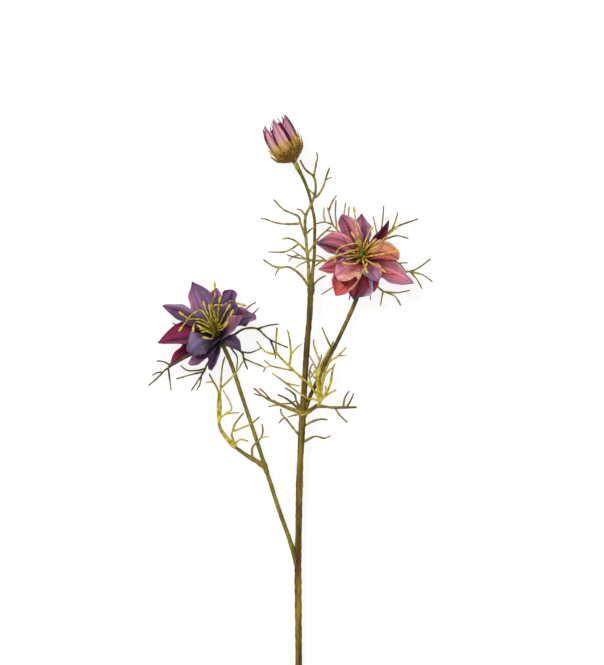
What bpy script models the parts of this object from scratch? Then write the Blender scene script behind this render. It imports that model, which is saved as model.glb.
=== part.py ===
"""A cut nigella spray that lies on a table: two open blooms, a bud and thread-like leaves.

The spray lies along +Y with its cut foot near y = 0. The table is the plane z = 0 and +Z is
up. Places below are in millimetres on the drawing, whose x = 0 is the axis of the foot, and
ORIGIN moves them to the part's own frame. Every thread is (radius at its root, heights at
its middle and tip, points on the drawing from root to tip), and its root lies on its carrier
or on an earlier thread.
"""

import math
import random

import bmesh
import bpy
from mathutils import Quaternion, Vector

MM = 0.001
ORIGIN = Vector((-5.3, 211.7, 0.0))

GAP = 0.35
STEP_STEM = 11.0
STEP_THREAD = 6.0
STEP_STAMEN = 6.0
TIP_SHARE = 0.6
THREAD_SIDES = 4
STEM_SIDES = 8
PETAL_THICKNESS = 0.7
PETAL_ROWS = 6
PETAL_COLUMNS = 4
BROADEST = 0.57
CLAW_SHARE = 0.25
TIP_WIDTH_SHARE = 0.06
POINTED_CLOSING = 1.15
BLUNT_CLOSING = 0.6
ROLL_RATE = 1.6
RUFFLE_ALONG = 9.0
RUFFLE_ACROSS = 2.4

# The stem climbs evenly from its foot on the table to the bud.
FOOT_HEIGHT = 2.15
STEM_SLOPE = 0.035
MAIN_STEM = [
    (0.0, 0.0, 2.25), (0.5, 40.0, 2.2), (0.0, 107.0, 2.3), (0.4, 133.0, 2.15),
    (1.0, 165.0, 2.3), (1.8, 188.0, 2.1), (3.2, 214.0, 2.3), (4.5, 235.0, 2.0),
    (5.5, 251.5, 1.95), (6.6, 267.5, 1.95), (8.0, 283.0, 1.9), (9.0, 303.0, 1.9),
    (10.0, 314.0, 1.2), (11.3, 325.0, 1.1), (11.6, 339.0, 1.0), (11.6, 351.0, 1.0),
    (9.7, 360.5, 1.0), (8.0, 368.5, 1.0), (5.5, 376.0, 1.0), (2.6, 382.5, 1.1),
    (-0.6, 388.5, 1.5),
]
SIDE_STEM = [
    (0.2, 103.0, 5.8, 1.9), (-1.8, 114.0, 6.1, 1.8), (-6.4, 129.0, 6.2, 1.45),
    (-13.5, 149.0, 6.2, 1.4), (-22.5, 177.0, 6.2, 1.35), (-30.8, 202.5, 6.2, 1.3),
    (-39.8, 229.5, 5.9, 1.3), (-46.0, 248.5, 4.8, 1.3),
]
STALK = [
    (3.6, 214.0, 9.7, 1.6), (8.0, 227.0, 9.4, 1.4), (12.0, 235.5, 9.0, 1.3),
    (19.5, 252.0, 8.2, 1.3), (24.5, 260.5, 7.6, 1.3), (34.6, 281.5, 6.0, 1.35),
    (41.6, 298.0, 4.4, 1.4), (44.2, 309.0, 2.8, 1.4),
]
STEM_THREADS = [
    (0.7, (7.0, 6.0), [(2.0, 199.0), (-3.6, 206.0), (-7.4, 211.0), (-11.7, 216.0), (-12.0, 219.5)]),
    (0.55, (5.5, 5.0), [(-9.5, 212.8), (-11.5, 211.5), (-13.6, 208.7)]),
    (0.7, (8.0, 6.5), [(3.0, 206.0), (9.2, 210.0), (15.7, 212.0), (21.0, 211.5)]),
    (0.7, (11.0, 12.5), [(2.5, 195.0), (9.2, 199.0), (13.0, 200.0), (18.8, 198.7), (23.0, 200.8)]),
    (0.6, (10.0, 11.5), [(24.5, 260.5), (21.5, 265.5), (16.7, 276.5)]),
]

# The middle whorl: each thread's root lies inside the collar or on a thread before it.
WHORL_COLLAR = ((3.2, 213.5, 9.6), (4.0, 219.0, 9.8), 3.6)
WHORL = [
    (0.95, (12.5, 13.0), [(5.0, 216.5), (10.9, 219.3), (15.0, 221.0), (25.8, 220.2), (41.3, 220.5)]),
    (0.6, (14.0, 15.0), [(31.7, 220.3), (32.8, 227.0), (36.0, 232.2)]),
    (0.6, (11.5, 10.0), [(34.0, 220.3), (37.0, 225.5), (39.2, 230.5)]),
    (0.6, (10.0, 8.0), [(25.9, 220.2), (29.1, 215.0), (35.0, 209.5)]),
    (0.8, (18.0, 23.0), [(13.0, 220.3), (15.2, 224.8), (12.0, 231.0), (7.6, 236.5), (2.2, 241.3),
                               (-6.3, 249.3), (-14.4, 257.8), (-15.4, 263.0), (-14.7, 276.5)]),
    (0.65, (21.0, 24.0), [(-6.3, 249.3), (-5.0, 257.0), (-5.8, 267.5), (-7.4, 275.0)]),
    (0.5, (21.0, 21.5), [(-5.0, 257.0), (-1.0, 262.0), (3.1, 265.0)]),
    (0.6, (19.5, 18.5), [(-14.0, 257.2), (-22.9, 259.5), (-29.0, 266.8)]),
    (0.6, (17.5, 16.5), [(-3.1, 246.1), (-18.1, 249.3), (-23.8, 253.5)]),
    (0.5, (17.0, 16.0), [(-18.1, 249.3), (-22.0, 248.6), (-24.5, 245.0)]),
    (0.7, (17.0, 19.0), [(15.1, 224.8), (11.0, 226.2), (7.6, 226.2), (2.2, 229.5), (-3.1, 233.2),
                               (-12.2, 240.2), (-18.2, 244.5)]),
    (0.5, (17.0, 16.8), [(-8.4, 237.3), (-3.0, 236.2), (1.8, 235.3)]),
    (0.85, (9.0, 8.0), [(3.0, 217.0), (-7.4, 220.4), (-19.2, 225.2), (-24.5, 228.2), (-31.2, 234.0)]),
    (0.55, (8.0, 7.0), [(-19.0, 225.2), (-23.5, 230.5), (-27.7, 233.8)]),
    (0.5, (7.0, 6.0), [(-24.5, 228.2), (-28.0, 229.0), (-31.5, 230.0)]),
    (0.75, (5.5, 3.5), [(3.0, 215.5), (-8.5, 219.9), (-13.8, 222.5), (-17.0, 225.8)]),
    (0.5, (4.0, 3.0), [(-13.0, 222.0), (-17.0, 221.6), (-21.0, 220.5)]),
    (0.75, (14.0, 16.0), [(3.0, 217.5), (-3.1, 222.5), (-8.5, 226.8), (-14.7, 229.5)]),
    (0.7, (12.5, 13.0), [(2.5, 217.5), (-1.2, 225.0), (-2.6, 229.5), (-9.2, 234.3)]),
    (0.5, (12.5, 12.5), [(-1.3, 225.0), (-5.8, 223.1), (-11.7, 223.1)]),
    (0.65, (7.0, 5.5), [(2.5, 216.0), (-2.5, 214.8), (-7.4, 213.4)]),
    (0.85, (14.5, 17.0), [(13.5, 220.6), (16.0, 225.2), (20.0, 229.0), (26.9, 232.8)]),
    (0.75, (14.5, 16.0), [(16.5, 226.0), (22.1, 235.3), (23.7, 243.5), (24.8, 248.7), (26.1, 251.0)]),
    (0.7, (16.0, 18.0), [(16.0, 225.2), (17.3, 238.8), (21.6, 251.4), (28.0, 256.3), (33.9, 262.6)]),
    (0.5, (16.5, 16.0), [(28.0, 256.3), (31.0, 256.6), (34.3, 256.5)]),
    (0.6, (17.5, 20.0), [(16.9, 235.5), (19.4, 243.4), (24.2, 248.4)]),
    (0.7, (14.0, 15.5), [(16.0, 225.2), (14.3, 233.2), (13.0, 238.0), (13.0, 246.0), (15.1, 252.5),
                               (13.5, 257.0), (10.9, 264.3), (11.1, 268.3)]),
    (0.5, (15.5, 16.5), [(14.9, 252.3), (16.2, 255.0), (16.5, 257.8)]),
    (0.5, (14.5, 14.5), [(13.2, 246.5), (10.5, 252.0), (7.9, 257.2)]),
    (0.5, (14.5, 15.0), [(13.0, 240.0), (10.0, 243.0), (8.2, 247.2)]),
]

# The upper frond runs beside the thin top of the stem, crosses in front of it and forks.
UPPER_COLLAR = ((8.7, 298.5, 12.6), (9.4, 306.5, 12.9), 2.9)
UPPER_FROND = [
    (0.95, (16.0, 19.0), [(8.0, 302.0), (7.5, 311.0), (7.3, 320.0), (6.4, 329.0), (5.6, 338.5),
                                (4.9, 349.0), (5.6, 355.0), (8.8, 361.3), (11.1, 367.0), (12.4, 374.0),
                                (11.1, 381.5), (5.3, 386.5), (1.2, 393.5)]),
    (0.6, (20.0, 21.0), [(11.1, 381.5), (12.8, 391.4), (13.7, 395.0), (12.8, 399.0)]),
    (0.7, (18.5, 19.0), [(11.0, 366.5), (14.6, 369.3), (18.2, 376.0), (20.0, 382.5), (22.2, 388.0)]),
    (0.5, (17.5, 16.5), [(19.2, 379.2), (21.5, 380.5), (24.0, 381.3)]),
    (0.5, (19.0, 20.0), [(11.4, 369.0), (7.0, 373.5), (5.6, 377.5)]),
    (0.7, (17.5, 18.0), [(4.9, 338.5), (1.7, 349.3), (0.0, 354.0), (-8.6, 357.8), (-12.2, 360.6),
                               (-17.1, 365.8)]),
    (0.6, (16.0, 14.5), [(1.8, 349.0), (-7.7, 348.5), (-15.8, 349.6), (-22.5, 352.0), (-26.3, 352.6)]),
    (0.7, (14.0, 12.5), [(6.2, 329.0), (0.4, 335.0), (-3.2, 337.6), (-7.7, 338.8), (-11.0, 338.0)]),
    (0.6, (12.5, 10.5), [(0.6, 334.8), (-5.0, 331.0), (-10.5, 329.0), (-21.0, 329.2)]),
    (0.5, (18.0, 18.5), [(5.3, 354.0), (2.1, 358.2), (-1.4, 359.0)]),
    (0.55, (18.5, 19.5), [(5.6, 341.5), (8.6, 344.5), (12.5, 347.2)]),
    (0.75, (11.5, 10.0), [(8.4, 302.5), (2.6, 312.0), (-5.5, 318.3), (-13.1, 318.3), (-18.4, 319.8),
                                (-24.6, 324.2)]),
    (0.5, (10.5, 10.0), [(-13.1, 318.3), (-15.0, 315.0), (-16.1, 312.0)]),
    (0.6, (11.0, 10.0), [(9.4, 304.0), (14.0, 309.5), (19.6, 312.7)]),
    (0.65, (17.5, 18.5), [(6.6, 327.5), (11.1, 334.0), (14.6, 339.0), (18.2, 342.5), (23.5, 347.0)]),
]

# The side frond leaves the left stem in a thick fleshy sheath.
SIDE_COLLAR = ((-21.8, 174.5, 6.2), (-23.8, 181.0, 6.2), 2.6)
SIDE_FROND = [
    (1.5, (7.0, 8.0), [(-23.0, 178.5), (-29.0, 182.5), (-36.5, 187.0), (-45.0, 193.3)]),
    (1.35, (8.0, 8.5), [(-43.5, 192.0), (-49.0, 197.5), (-54.0, 204.5), (-55.6, 210.5)]),
    (0.75, (9.5, 10.0), [(-55.3, 209.0), (-56.2, 220.6), (-55.6, 229.3), (-57.0, 234.5), (-59.3, 238.2),
                              (-62.4, 244.0)]),
    (0.5, (9.0, 8.5), [(-58.9, 237.8), (-62.5, 238.2), (-65.1, 237.3)]),
    (0.75, (10.0, 11.0), [(-54.6, 208.5), (-54.2, 219.0), (-54.4, 230.0), (-53.6, 242.7), (-52.6, 251.0),
                               (-51.0, 256.0)]),
    (0.6, (10.8, 12.0), [(-54.3, 233.5), (-49.5, 238.2), (-43.2, 245.0), (-38.3, 252.8)]),
    (0.55, (11.5, 11.0), [(-54.3, 213.0), (-48.6, 217.1), (-46.4, 219.5), (-48.0, 224.5),
                               (-52.5, 232.5)]),
    (0.5, (12.0, 13.0), [(-50.5, 215.7), (-46.0, 216.4), (-41.0, 216.6)]),
    (0.8, (9.5, 10.5), [(-43.5, 192.5), (-46.4, 200.5), (-45.8, 203.6), (-43.8, 209.2), (-37.9, 216.8)]),
    (0.6, (10.2, 11.0), [(-45.9, 203.2), (-40.1, 205.6), (-32.9, 208.8), (-26.7, 214.0)]),
    (0.6, (8.5, 9.0), [(-45.0, 193.5), (-42.0, 197.0), (-39.2, 197.8), (-34.4, 196.4)]),
    (0.7, (9.2, 10.5), [(-31.5, 184.0), (-32.2, 191.4), (-28.5, 196.3), (-25.8, 199.0), (-24.6, 204.0),
                             (-25.3, 209.0)]),
    (0.55, (10.5, 11.0), [(-26.2, 198.7), (-23.0, 199.8), (-19.8, 199.7)]),
]

# Each bloom stands on its stem's end: ruff, receptacle, stamen ring and ovary along one axis.
VIOLET_CENTRE = Vector((-57.0, 271.5, 14.0))
VIOLET_AXIS = Vector((-0.36, 0.66, 0.66)).normalized()
PINK_CENTRE = Vector((44.5, 325.0, 16.0))
PINK_AXIS = Vector((0.0, 0.42, 0.91)).normalized()
NECK_DROP = 11.9
NECK_LENGTH = 3.4
NECK_RADIUS = 1.45
RUFF_DROP = 9.6
RUFF_RADIUS = 2.6
RUFF_HALF = 1.9
RECEPTACLE_DROP = 4.2
RECEPTACLE_RADIUS = 4.2
RECEPTACLE_HALF = 3.1
ROOT_SHARE = 0.7
RING_RISE = 0.8
RING_RADIUS = 3.5
RING_HALF = 1.1
OVARY_RISE = 5.5
OVARY_RADIUS = 2.0
OVARY_HALF = 3.6

# Each petal is (its middle, its tip, its width, its roll in degrees, how far its edges rise,
# how far they ruffle, how blunt its tip is from 0 to 1).
VIOLET_PETALS = [
    ((-65.6, 290.5, 5.5), (-74.5, 308.5, -0.5), 17.0, 0.0, 0.10, 0.0, 0.1),
    ((-77.0, 283.3, 11.0), (-95.0, 291.2, 8.0), 10.5, -15.0, 0.20, 0.3, 0.45),
    ((-78.0, 269.6, 12.0), (-98.2, 265.2, 9.0), 22.0, 5.0, 0.12, 0.3, 0.1),
    ((-74.5, 260.5, 12.5), (-91.3, 248.7, 8.0), 13.0, 0.0, 0.20, 0.3, 0.0),
    ((-70.0, 269.6, 26.0), (-78.0, 260.2, 17.0), 23.0, 0.0, -0.22, 0.0, 0.9),
    ((-64.5, 257.8, 19.0), (-76.0, 250.5, 13.5), 13.5, 0.0, 0.12, 0.3, 0.6),
    ((-56.8, 257.5, 17.0), (-61.2, 246.6, 11.5), 14.0, 20.0, 0.15, 0.4, 0.7),
    ((-46.5, 268.0, 20.0), (-38.7, 259.3, 16.0), 9.5, 0.0, -0.10, 0.3, 0.3),
    ((-46.5, 275.0, 21.0), (-38.6, 284.5, 27.0), 13.0, 10.0, 0.22, 0.0, 0.6),
    ((-42.5, 280.0, 15.0), (-29.0, 283.0, 16.0), 16.5, 0.0, 0.10, 1.2, 0.9),
    ((-50.0, 287.0, 11.0), (-45.8, 302.8, 11.0), 18.5, 0.0, 0.10, 1.3, 0.9),
    ((-57.5, 287.0, 5.5), (-57.2, 304.2, 1.8), 15.5, 0.0, 0.10, 0.3, 0.5),
    ((-51.0, 281.5, 15.5), (-46.5, 293.5, 17.5), 11.5, 0.0, 0.22, 0.3, 0.5),
    ((-58.8, 266.3, 19.5), (-61.5, 262.0, 21.5), 8.0, 0.0, 0.20, 0.0, 0.5),
]
PINK_PETALS = [
    ((36.6, 341.5, 10.5), (30.5, 355.4, 6.5), 13.5, 0.0, 0.30, 0.3, 0.5),
    ((44.5, 341.5, 6.5), (44.5, 356.3, -0.5), 13.0, 0.0, 0.05, 0.2, 0.1),
    ((55.5, 338.0, 14.0), (64.0, 351.4, 14.5), 8.5, 50.0, 0.20, 0.2, 0.0),
    ((58.0, 328.0, 20.0), (70.5, 323.8, 21.5), 13.5, 0.0, 0.32, 0.2, 0.8),
    ((63.0, 314.6, 19.0), (80.5, 307.0, 14.5), 14.5, 0.0, 0.12, 0.5, 0.2),
    ((60.5, 319.6, 15.5), (75.8, 314.2, 13.5), 12.0, 0.0, 0.15, 0.3, 0.4),
    ((51.0, 316.5, 22.5), (56.8, 309.0, 25.0), 12.5, 0.0, 0.10, 0.4, 0.6),
    ((50.0, 311.5, 17.5), (53.3, 301.3, 15.0), 10.5, 0.0, 0.20, 0.4, 0.4),
    ((43.0, 308.6, 14.0), (39.0, 296.0, 11.0), 20.5, 0.0, 0.15, 0.4, 0.1),
    ((35.5, 311.0, 17.0), (26.4, 298.5, 14.5), 17.5, 0.0, 0.30, 0.3, 0.3),
    ((35.6, 317.0, 24.0), (26.0, 312.2, 25.0), 16.5, 0.0, 0.05, 1.1, 0.8),
    ((28.7, 318.6, 16.0), (14.2, 316.8, 15.0), 12.5, 0.0, 0.25, 0.3, 0.3),
    ((28.5, 330.6, 14.5), (12.8, 335.0, 12.5), 16.5, 0.0, 0.35, 0.3, 0.4),
]

# Stamens and styles arch out of the ring and end in a club of pollen.
STAMEN_RADIUS = 0.6
STAMEN_CIRCLE = 3.1
STAMEN_STAND = 4.5
CLUB_SHARE = 1.7
CLUB_NECK_SHARE = 0.8
STAMEN_LEAN = 0.5
VIOLET_STAMENS = [
    ((26.0, 24.0), [(-60.0, 291.3), (-57.9, 298.5), (-58.2, 308.2)]),
    ((27.0, 24.0), [(-58.5, 290.8), (-52.3, 291.9), (-46.6, 294.7), (-42.0, 293.0), (-35.8, 291.3)]),
    ((27.0, 28.0), [(-55.5, 289.0), (-54.0, 298.0)]),
    ((26.0, 24.0), [(-63.0, 286.0), (-66.2, 294.5)]),
    ((29.0, 30.0), [(-51.5, 285.0), (-47.1, 292.4)]),
    ((30.0, 31.0), [(-50.0, 280.0), (-44.9, 288.8)]),
    ((33.0, 28.0), [(-63.6, 283.6), (-68.2, 288.3), (-74.9, 284.2), (-77.4, 281.1), (-83.1, 273.4)]),
    ((31.0, 30.0), [(-64.6, 280.6), (-71.8, 282.2), (-75.9, 282.4), (-83.1, 287.2)]),
    ((34.0, 33.0), [(-63.5, 277.5), (-71.0, 280.0), (-73.3, 272.9)]),
    ((33.0, 35.0), [(-61.0, 272.5), (-70.2, 278.0)]),
    ((31.0, 33.0), [(-60.0, 268.5), (-66.5, 269.5)]),
    ((29.0, 31.0), [(-53.0, 275.0), (-48.5, 280.5)]),
    ((24.0, 22.0), [(-60.5, 284.0), (-62.0, 292.5)]),
]
PINK_STAMENS = [
    ((27.0, 29.0), [(42.5, 336.0), (40.5, 348.0), (38.9, 360.5)]),
    ((31.0, 28.0), [(41.3, 334.4), (34.5, 333.8), (28.7, 331.2), (26.0, 326.3), (25.9, 321.5)]),
    ((32.0, 31.0), [(41.3, 330.2), (31.5, 327.5), (21.0, 323.8)]),
    ((24.0, 24.0), [(51.5, 331.0), (61.0, 339.0), (70.1, 347.2)]),
    ((24.0, 25.0), [(46.5, 335.0), (50.0, 343.5), (52.5, 346.5)]),
    ((26.0, 28.0), [(47.5, 331.5), (54.6, 338.2)]),
    ((28.0, 30.0), [(50.5, 326.0), (59.5, 327.5), (69.5, 329.5)]),
    ((30.0, 33.0), [(48.0, 321.5), (45.2, 315.5), (41.3, 310.0)]),
    ((30.0, 29.0), [(49.5, 322.0), (56.0, 318.5), (61.4, 314.4)]),
    ((27.0, 27.0), [(42.0, 334.0), (37.0, 343.0)]),
    ((30.0, 31.0), [(41.0, 321.0), (34.5, 320.5), (30.5, 321.5)]),
    ((29.0, 31.0), [(50.0, 329.5), (57.0, 333.5)]),
    ((31.0, 34.0), [(46.0, 320.0), (48.5, 313.5)]),
]

# Thread bracts spring from the ruff and show beyond the petals.
VIOLET_BRACTS = [
    (0.7, (6.0, 7.0), [(-56.0, 263.5), (-66.0, 260.0), (-76.0, 256.5), (-91.3, 247.8), (-98.0, 241.5),
                            (-105.0, 235.3)]),
    (0.55, (5.5, 5.0), [(-91.0, 248.0), (-90.0, 240.0), (-88.9, 231.8)]),
    (0.55, (7.0, 7.5), [(-89.0, 249.5), (-94.0, 252.2), (-99.4, 252.8)]),
    (0.5, (6.0, 6.0), [(-94.5, 245.0), (-99.0, 244.5), (-102.6, 242.4)]),
    (0.7, (6.0, 7.5), [(-55.5, 262.5), (-60.0, 256.0), (-64.0, 250.0), (-66.5, 244.4), (-74.9, 231.8)]),
    (0.55, (6.0, 5.5), [(-65.3, 247.5), (-70.0, 246.2), (-77.7, 246.2), (-82.6, 250.0)]),
    (0.55, (6.0, 5.5), [(-66.3, 245.0), (-72.8, 243.8), (-85.8, 240.0)]),
    (0.5, (8.0, 8.5), [(-67.8, 242.3), (-68.6, 237.0), (-71.2, 231.8)]),
    (0.6, (4.0, 3.0), [(-53.5, 265.0), (-49.0, 264.0), (-45.5, 259.8), (-42.5, 254.9), (-43.2, 246.5)]),
    (0.7, (6.5, 7.5), [(-52.5, 264.5), (-45.0, 262.0), (-39.2, 258.5), (-37.9, 253.5), (-35.2, 246.6)]),
    (0.55, (7.5, 8.0), [(-38.2, 254.6), (-31.0, 251.5), (-23.1, 248.3)]),
    (0.55, (7.5, 9.0), [(-40.0, 259.4), (-33.6, 258.6), (-25.2, 262.0)]),
    (0.75, (8.5, 9.5), [(-53.0, 265.5), (-45.0, 271.0), (-37.4, 275.4), (-28.7, 275.4), (-23.1, 270.5),
                             (-17.9, 266.8), (-6.7, 262.0)]),
    (0.55, (10.0, 11.0), [(-28.5, 275.3), (-21.0, 277.6), (-13.0, 278.8)]),
    (0.55, (8.5, 8.0), [(-19.5, 267.8), (-17.0, 261.0), (-15.4, 254.2)]),
    (0.55, (6.5, 8.0), [(-53.5, 266.0), (-44.0, 279.0), (-36.0, 289.6), (-29.4, 294.0)]),
    (0.5, (8.5, 9.5), [(-44.5, 278.3), (-34.0, 284.0), (-26.8, 290.4)]),
    (0.5, (4.2, 3.2), [(-56.0, 264.5), (-72.0, 273.0), (-88.5, 279.5)]),
]
PINK_BRACTS = [
    (0.7, (14.6, 19.5), [(42.5, 321.0), (34.0, 322.0), (20.9, 322.8), (11.1, 323.2), (-2.4, 325.4),
                              (-7.9, 327.2)]),
    (0.5, (19.0, 20.0), [(6.0, 323.8), (-0.6, 327.8), (-4.3, 330.4)]),
    (0.5, (18.5, 18.0), [(1.0, 326.7), (-3.5, 325.8), (-6.8, 322.4)]),
    (0.5, (16.5, 16.5), [(10.3, 323.2), (4.0, 321.6), (-1.9, 318.0)]),
    (0.5, (15.7, 16.6), [(16.8, 323.0), (13.5, 320.5), (10.2, 317.8)]),
    (0.5, (15.7, 16.8), [(19.5, 322.9), (15.5, 325.8), (12.0, 326.6)]),
    (0.7, (5.5, 6.5), [(42.0, 322.0), (34.5, 332.0), (28.0, 344.2), (24.3, 348.6), (20.7, 360.6)]),
    (0.55, (6.5, 7.5), [(21.6, 357.5), (23.5, 363.5), (27.1, 368.8)]),
    (0.55, (6.0, 6.5), [(27.2, 345.2), (26.2, 357.0), (26.6, 365.7)]),
    (0.5, (6.5, 7.0), [(24.4, 348.3), (18.5, 350.2), (11.9, 348.7)]),
    (0.5, (6.0, 6.0), [(19.3, 350.0), (18.0, 355.0), (18.4, 360.6)]),
    (0.5, (7.0, 8.0), [(29.0, 342.5), (20.5, 344.0), (15.0, 339.8)]),
    (0.55, (4.0, 5.0), [(34.0, 333.0), (32.0, 350.0), (33.4, 364.0)]),
    (0.5, (3.5, 4.5), [(33.0, 342.0), (35.2, 353.0), (35.8, 361.5)]),
    (0.7, (4.5, 7.0), [(46.5, 323.0), (57.5, 334.5), (66.5, 345.5), (84.6, 352.5)]),
    (0.55, (7.0, 9.0), [(66.0, 345.0), (68.5, 351.5), (70.1, 357.6)]),
    (0.55, (7.5, 9.5), [(60.0, 337.5), (69.0, 340.6), (77.7, 338.4)]),
    (0.55, (3.2, 4.5), [(54.0, 331.0), (58.5, 345.0), (60.2, 362.0)]),
    (0.5, (3.0, 2.6), [(56.0, 337.0), (54.6, 346.0), (52.6, 354.5)]),
    (0.7, (8.2, 11.5), [(47.0, 320.0), (63.0, 317.0), (79.5, 315.8), (93.0, 324.3)]),
    (0.55, (10.5, 11.0), [(77.5, 315.8), (87.0, 313.2), (94.5, 308.0)]),
    (0.55, (9.5, 9.0), [(78.5, 315.8), (83.5, 309.5), (87.0, 303.0)]),
    (0.5, (9.0, 11.0), [(62.0, 317.1), (70.0, 321.0), (77.2, 321.6)]),
    (0.7, (9.5, 12.0), [(46.0, 318.5), (54.6, 306.5), (59.5, 301.8), (67.6, 298.2), (72.1, 291.3)]),
    (0.55, (10.0, 9.5), [(59.6, 301.7), (58.6, 296.5), (57.7, 291.2)]),
    (0.55, (12.5, 14.0), [(60.2, 301.4), (69.0, 300.6), (78.3, 302.2)]),
    (0.55, (8.5, 9.5), [(45.0, 318.5), (49.0, 306.0), (51.1, 295.3)]),
    (0.55, (9.0, 9.5), [(43.5, 318.5), (38.5, 306.0), (35.7, 295.3)]),
    (0.55, (9.5, 11.5), [(43.0, 319.0), (31.0, 308.5), (24.5, 304.5), (16.1, 299.2)]),
]

# The bud lies along its own axis: a cup with needle bracts, and pointed petals in a crown.
BUD_BASE = Vector((-1.9, 391.6, 16.0))
BUD_AXIS = Vector((-0.52, 0.854, 0.0)).normalized()
BUD_CUP = [(0.0, 1.7), (1.3, 2.3), (3.0, 5.6), (5.5, 8.2), (8.0, 9.9), (9.6, 10.3), (10.0, 6.0)]
BUD_CUP_SIDES = 14
NEEDLE_COUNT = 25
NEEDLE_RADIUS = 0.6
NEEDLE_TAPER = 0.4
NEEDLE_SEED = 7
NEEDLE_RISE = (2.2, 7.6)
NEEDLE_LENGTH = (8.0, 12.0)
NEEDLE_SPLAY = 1.6
NEEDLE_LEAN = 2.5
NEEDLE_ROOT_DEPTH = 0.8
NEEDLE_STANDOFF = 1.8
NEEDLE_BOW = 11.0
NEEDLE_END = 12.3
NEEDLE_STEP = 5.0
SPACING_JITTER = 0.3
BUD_PETAL_COUNT = 8
BUD_PETAL_SEED = 3
BUD_PETAL_WIDTH = 10.0
BUD_CLAW_SHARE = 0.62
BUD_PETAL_ROWS = 4
BUD_PETAL_COLUMNS = 3
BUD_CORE_RISE = 11.3
BUD_CORE_RADIUS = 9.8
BUD_CORE_HALF = 1.1
BUD_PETAL_BOW = (8.5, 10.8)
BUD_PETAL_TIP = (20.9, 8.9)
BUD_PETAL_JITTER = 0.12
BUD_PETAL_TUCK = 1.2
BUD_PETAL_HOLLOW = 0.4
BUD_PETAL_BLUNT = 0.1
BUD_ROOT_INSET = 1.2
BUD_ROOT_DEPTH = 0.3


def clear_scene():
    for obj in list(bpy.data.objects):
        bpy.data.objects.remove(obj)


def collection(name):
    found = bpy.data.collections.new(name)
    bpy.context.scene.collection.children.link(found)
    return found


def material(name, colour, roughness):
    finish = bpy.data.materials.new(name)
    finish.use_nodes = True
    finish.diffuse_color = (*colour, 1.0)
    shader = finish.node_tree.nodes["Principled BSDF"]
    shader.inputs["Base Color"].default_value = (*colour, 1.0)
    shader.inputs["Roughness"].default_value = roughness
    return finish


def evaluated_mesh(obj):
    bpy.context.view_layer.update()
    graph = bpy.context.evaluated_depsgraph_get()
    return bpy.data.meshes.new_from_object(obj.evaluated_get(graph))


def place(point):
    """A point of the drawing in the part's own frame, in metres."""
    return (point - ORIGIN) * MM


def smooth(points, step):
    """Points about a step apart on the smooth curve through the given ones."""
    count = len(points)
    found = []
    for i in range(count - 1):
        before = points[max(i - 1, 0)]
        start, end = points[i], points[i + 1]
        after = points[min(i + 2, count - 1)]
        pieces = max(1, round((end - start).to_3d().length / step))
        for k in range(pieces):
            t = k / pieces
            found.append(
                0.5 * (
                    2.0 * start
                    + (end - before) * t
                    + (2.0 * before - 5.0 * start + 4.0 * end - after) * t**2
                    + (3.0 * start - before - 3.0 * end + after) * t**3
                )
            )
    found.append(points[-1].copy())
    return found


def tube(name, points, sides):
    """A closed tube along points that are (x, y, z, radius)."""
    curve = bpy.data.curves.new(name, "CURVE")
    curve.dimensions = "3D"
    curve.bevel_depth = MM
    curve.bevel_resolution = sides // 2 - 2
    curve.use_fill_caps = True
    spline = curve.splines.new("POLY")
    spline.points.add(len(points) - 1)
    for target, point in zip(spline.points, points):
        target.co = (*place(point.to_3d()), 1.0)
        target.radius = point.w
    guide = bpy.data.objects.new(name + "_guide", curve)
    bpy.context.scene.collection.objects.link(guide)
    mesh = evaluated_mesh(guide)
    bpy.data.objects.remove(guide)
    return welded(name, mesh)


def welded(name, mesh):
    work = bmesh.new()
    work.from_mesh(mesh)
    bmesh.ops.remove_doubles(work, verts=work.verts, dist=1e-7)
    bmesh.ops.recalc_face_normals(work, faces=work.faces)
    work.to_mesh(mesh)
    work.free()
    return bpy.data.objects.new(name, mesh)


def nearest(paths, x, y):
    """The point of the paths that lies closest to a place on the drawing."""
    place_2d = Vector((x, y))
    best, found = None, None
    for path in paths:
        for a, b in zip(path, path[1:]):
            a, b = a.to_3d(), b.to_3d()
            run = (b - a).to_2d()
            t = (place_2d - a.to_2d()).dot(run) / max(run.length_squared, 1e-9)
            point = a.lerp(b, min(1.0, max(0.0, t)))
            distance = (point.to_2d() - place_2d).length
            if best is None or distance < best:
                best, found = distance, point
    return found


def strand_path(paths, radius, heights, outline):
    """A tapering thread: its root lies on an earlier path, and its height is given twice."""
    root = nearest(paths, *outline[0])
    route = [root.to_2d().to_4d()] + [Vector((x, y, 0.0, 0.0)) for x, y in outline[1:]]
    route[0].z = 0.0
    route[0].w = 0.0
    path = smooth(route, STEP_THREAD)
    lengths = [0.0]
    for a, b in zip(path, path[1:]):
        lengths.append(lengths[-1] + (b - a).length)
    middle, high = heights
    for point, length in zip(path, lengths):
        t = length / lengths[-1]
        point.z = root.z * (1 - t) * (1 - 2 * t) + middle * 4 * t * (1 - t) + high * t * (2 * t - 1)
        point.w = radius * (1 + (TIP_SHARE - 1) * t)
    return path


def strands(name, carriers, threads):
    """The threads of one node as closed tubes, each rooted on its carrier or an earlier thread."""
    paths = list(carriers)
    made = []
    for i, (radius, heights, outline) in enumerate(threads):
        paths.append(strand_path(paths, radius, heights, outline))
        made.append(tube(f"{name}_{i}", paths[-1], THREAD_SIDES))
    return made


def ball(name, centre, axis, radius, half, segments=12, rings=6):
    """A rounded body about an axis, half as long as the second size."""
    work = bmesh.new()
    bmesh.ops.create_uvsphere(work, u_segments=segments, v_segments=rings, radius=1.0)
    turn = axis.to_track_quat("Z", "Y")
    for vertex in work.verts:
        shape = Vector((vertex.co.x * radius, vertex.co.y * radius, vertex.co.z * half))
        vertex.co = place(centre + turn @ shape)
    mesh = bpy.data.meshes.new(name)
    work.to_mesh(mesh)
    work.free()
    return bpy.data.objects.new(name, mesh)


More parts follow.
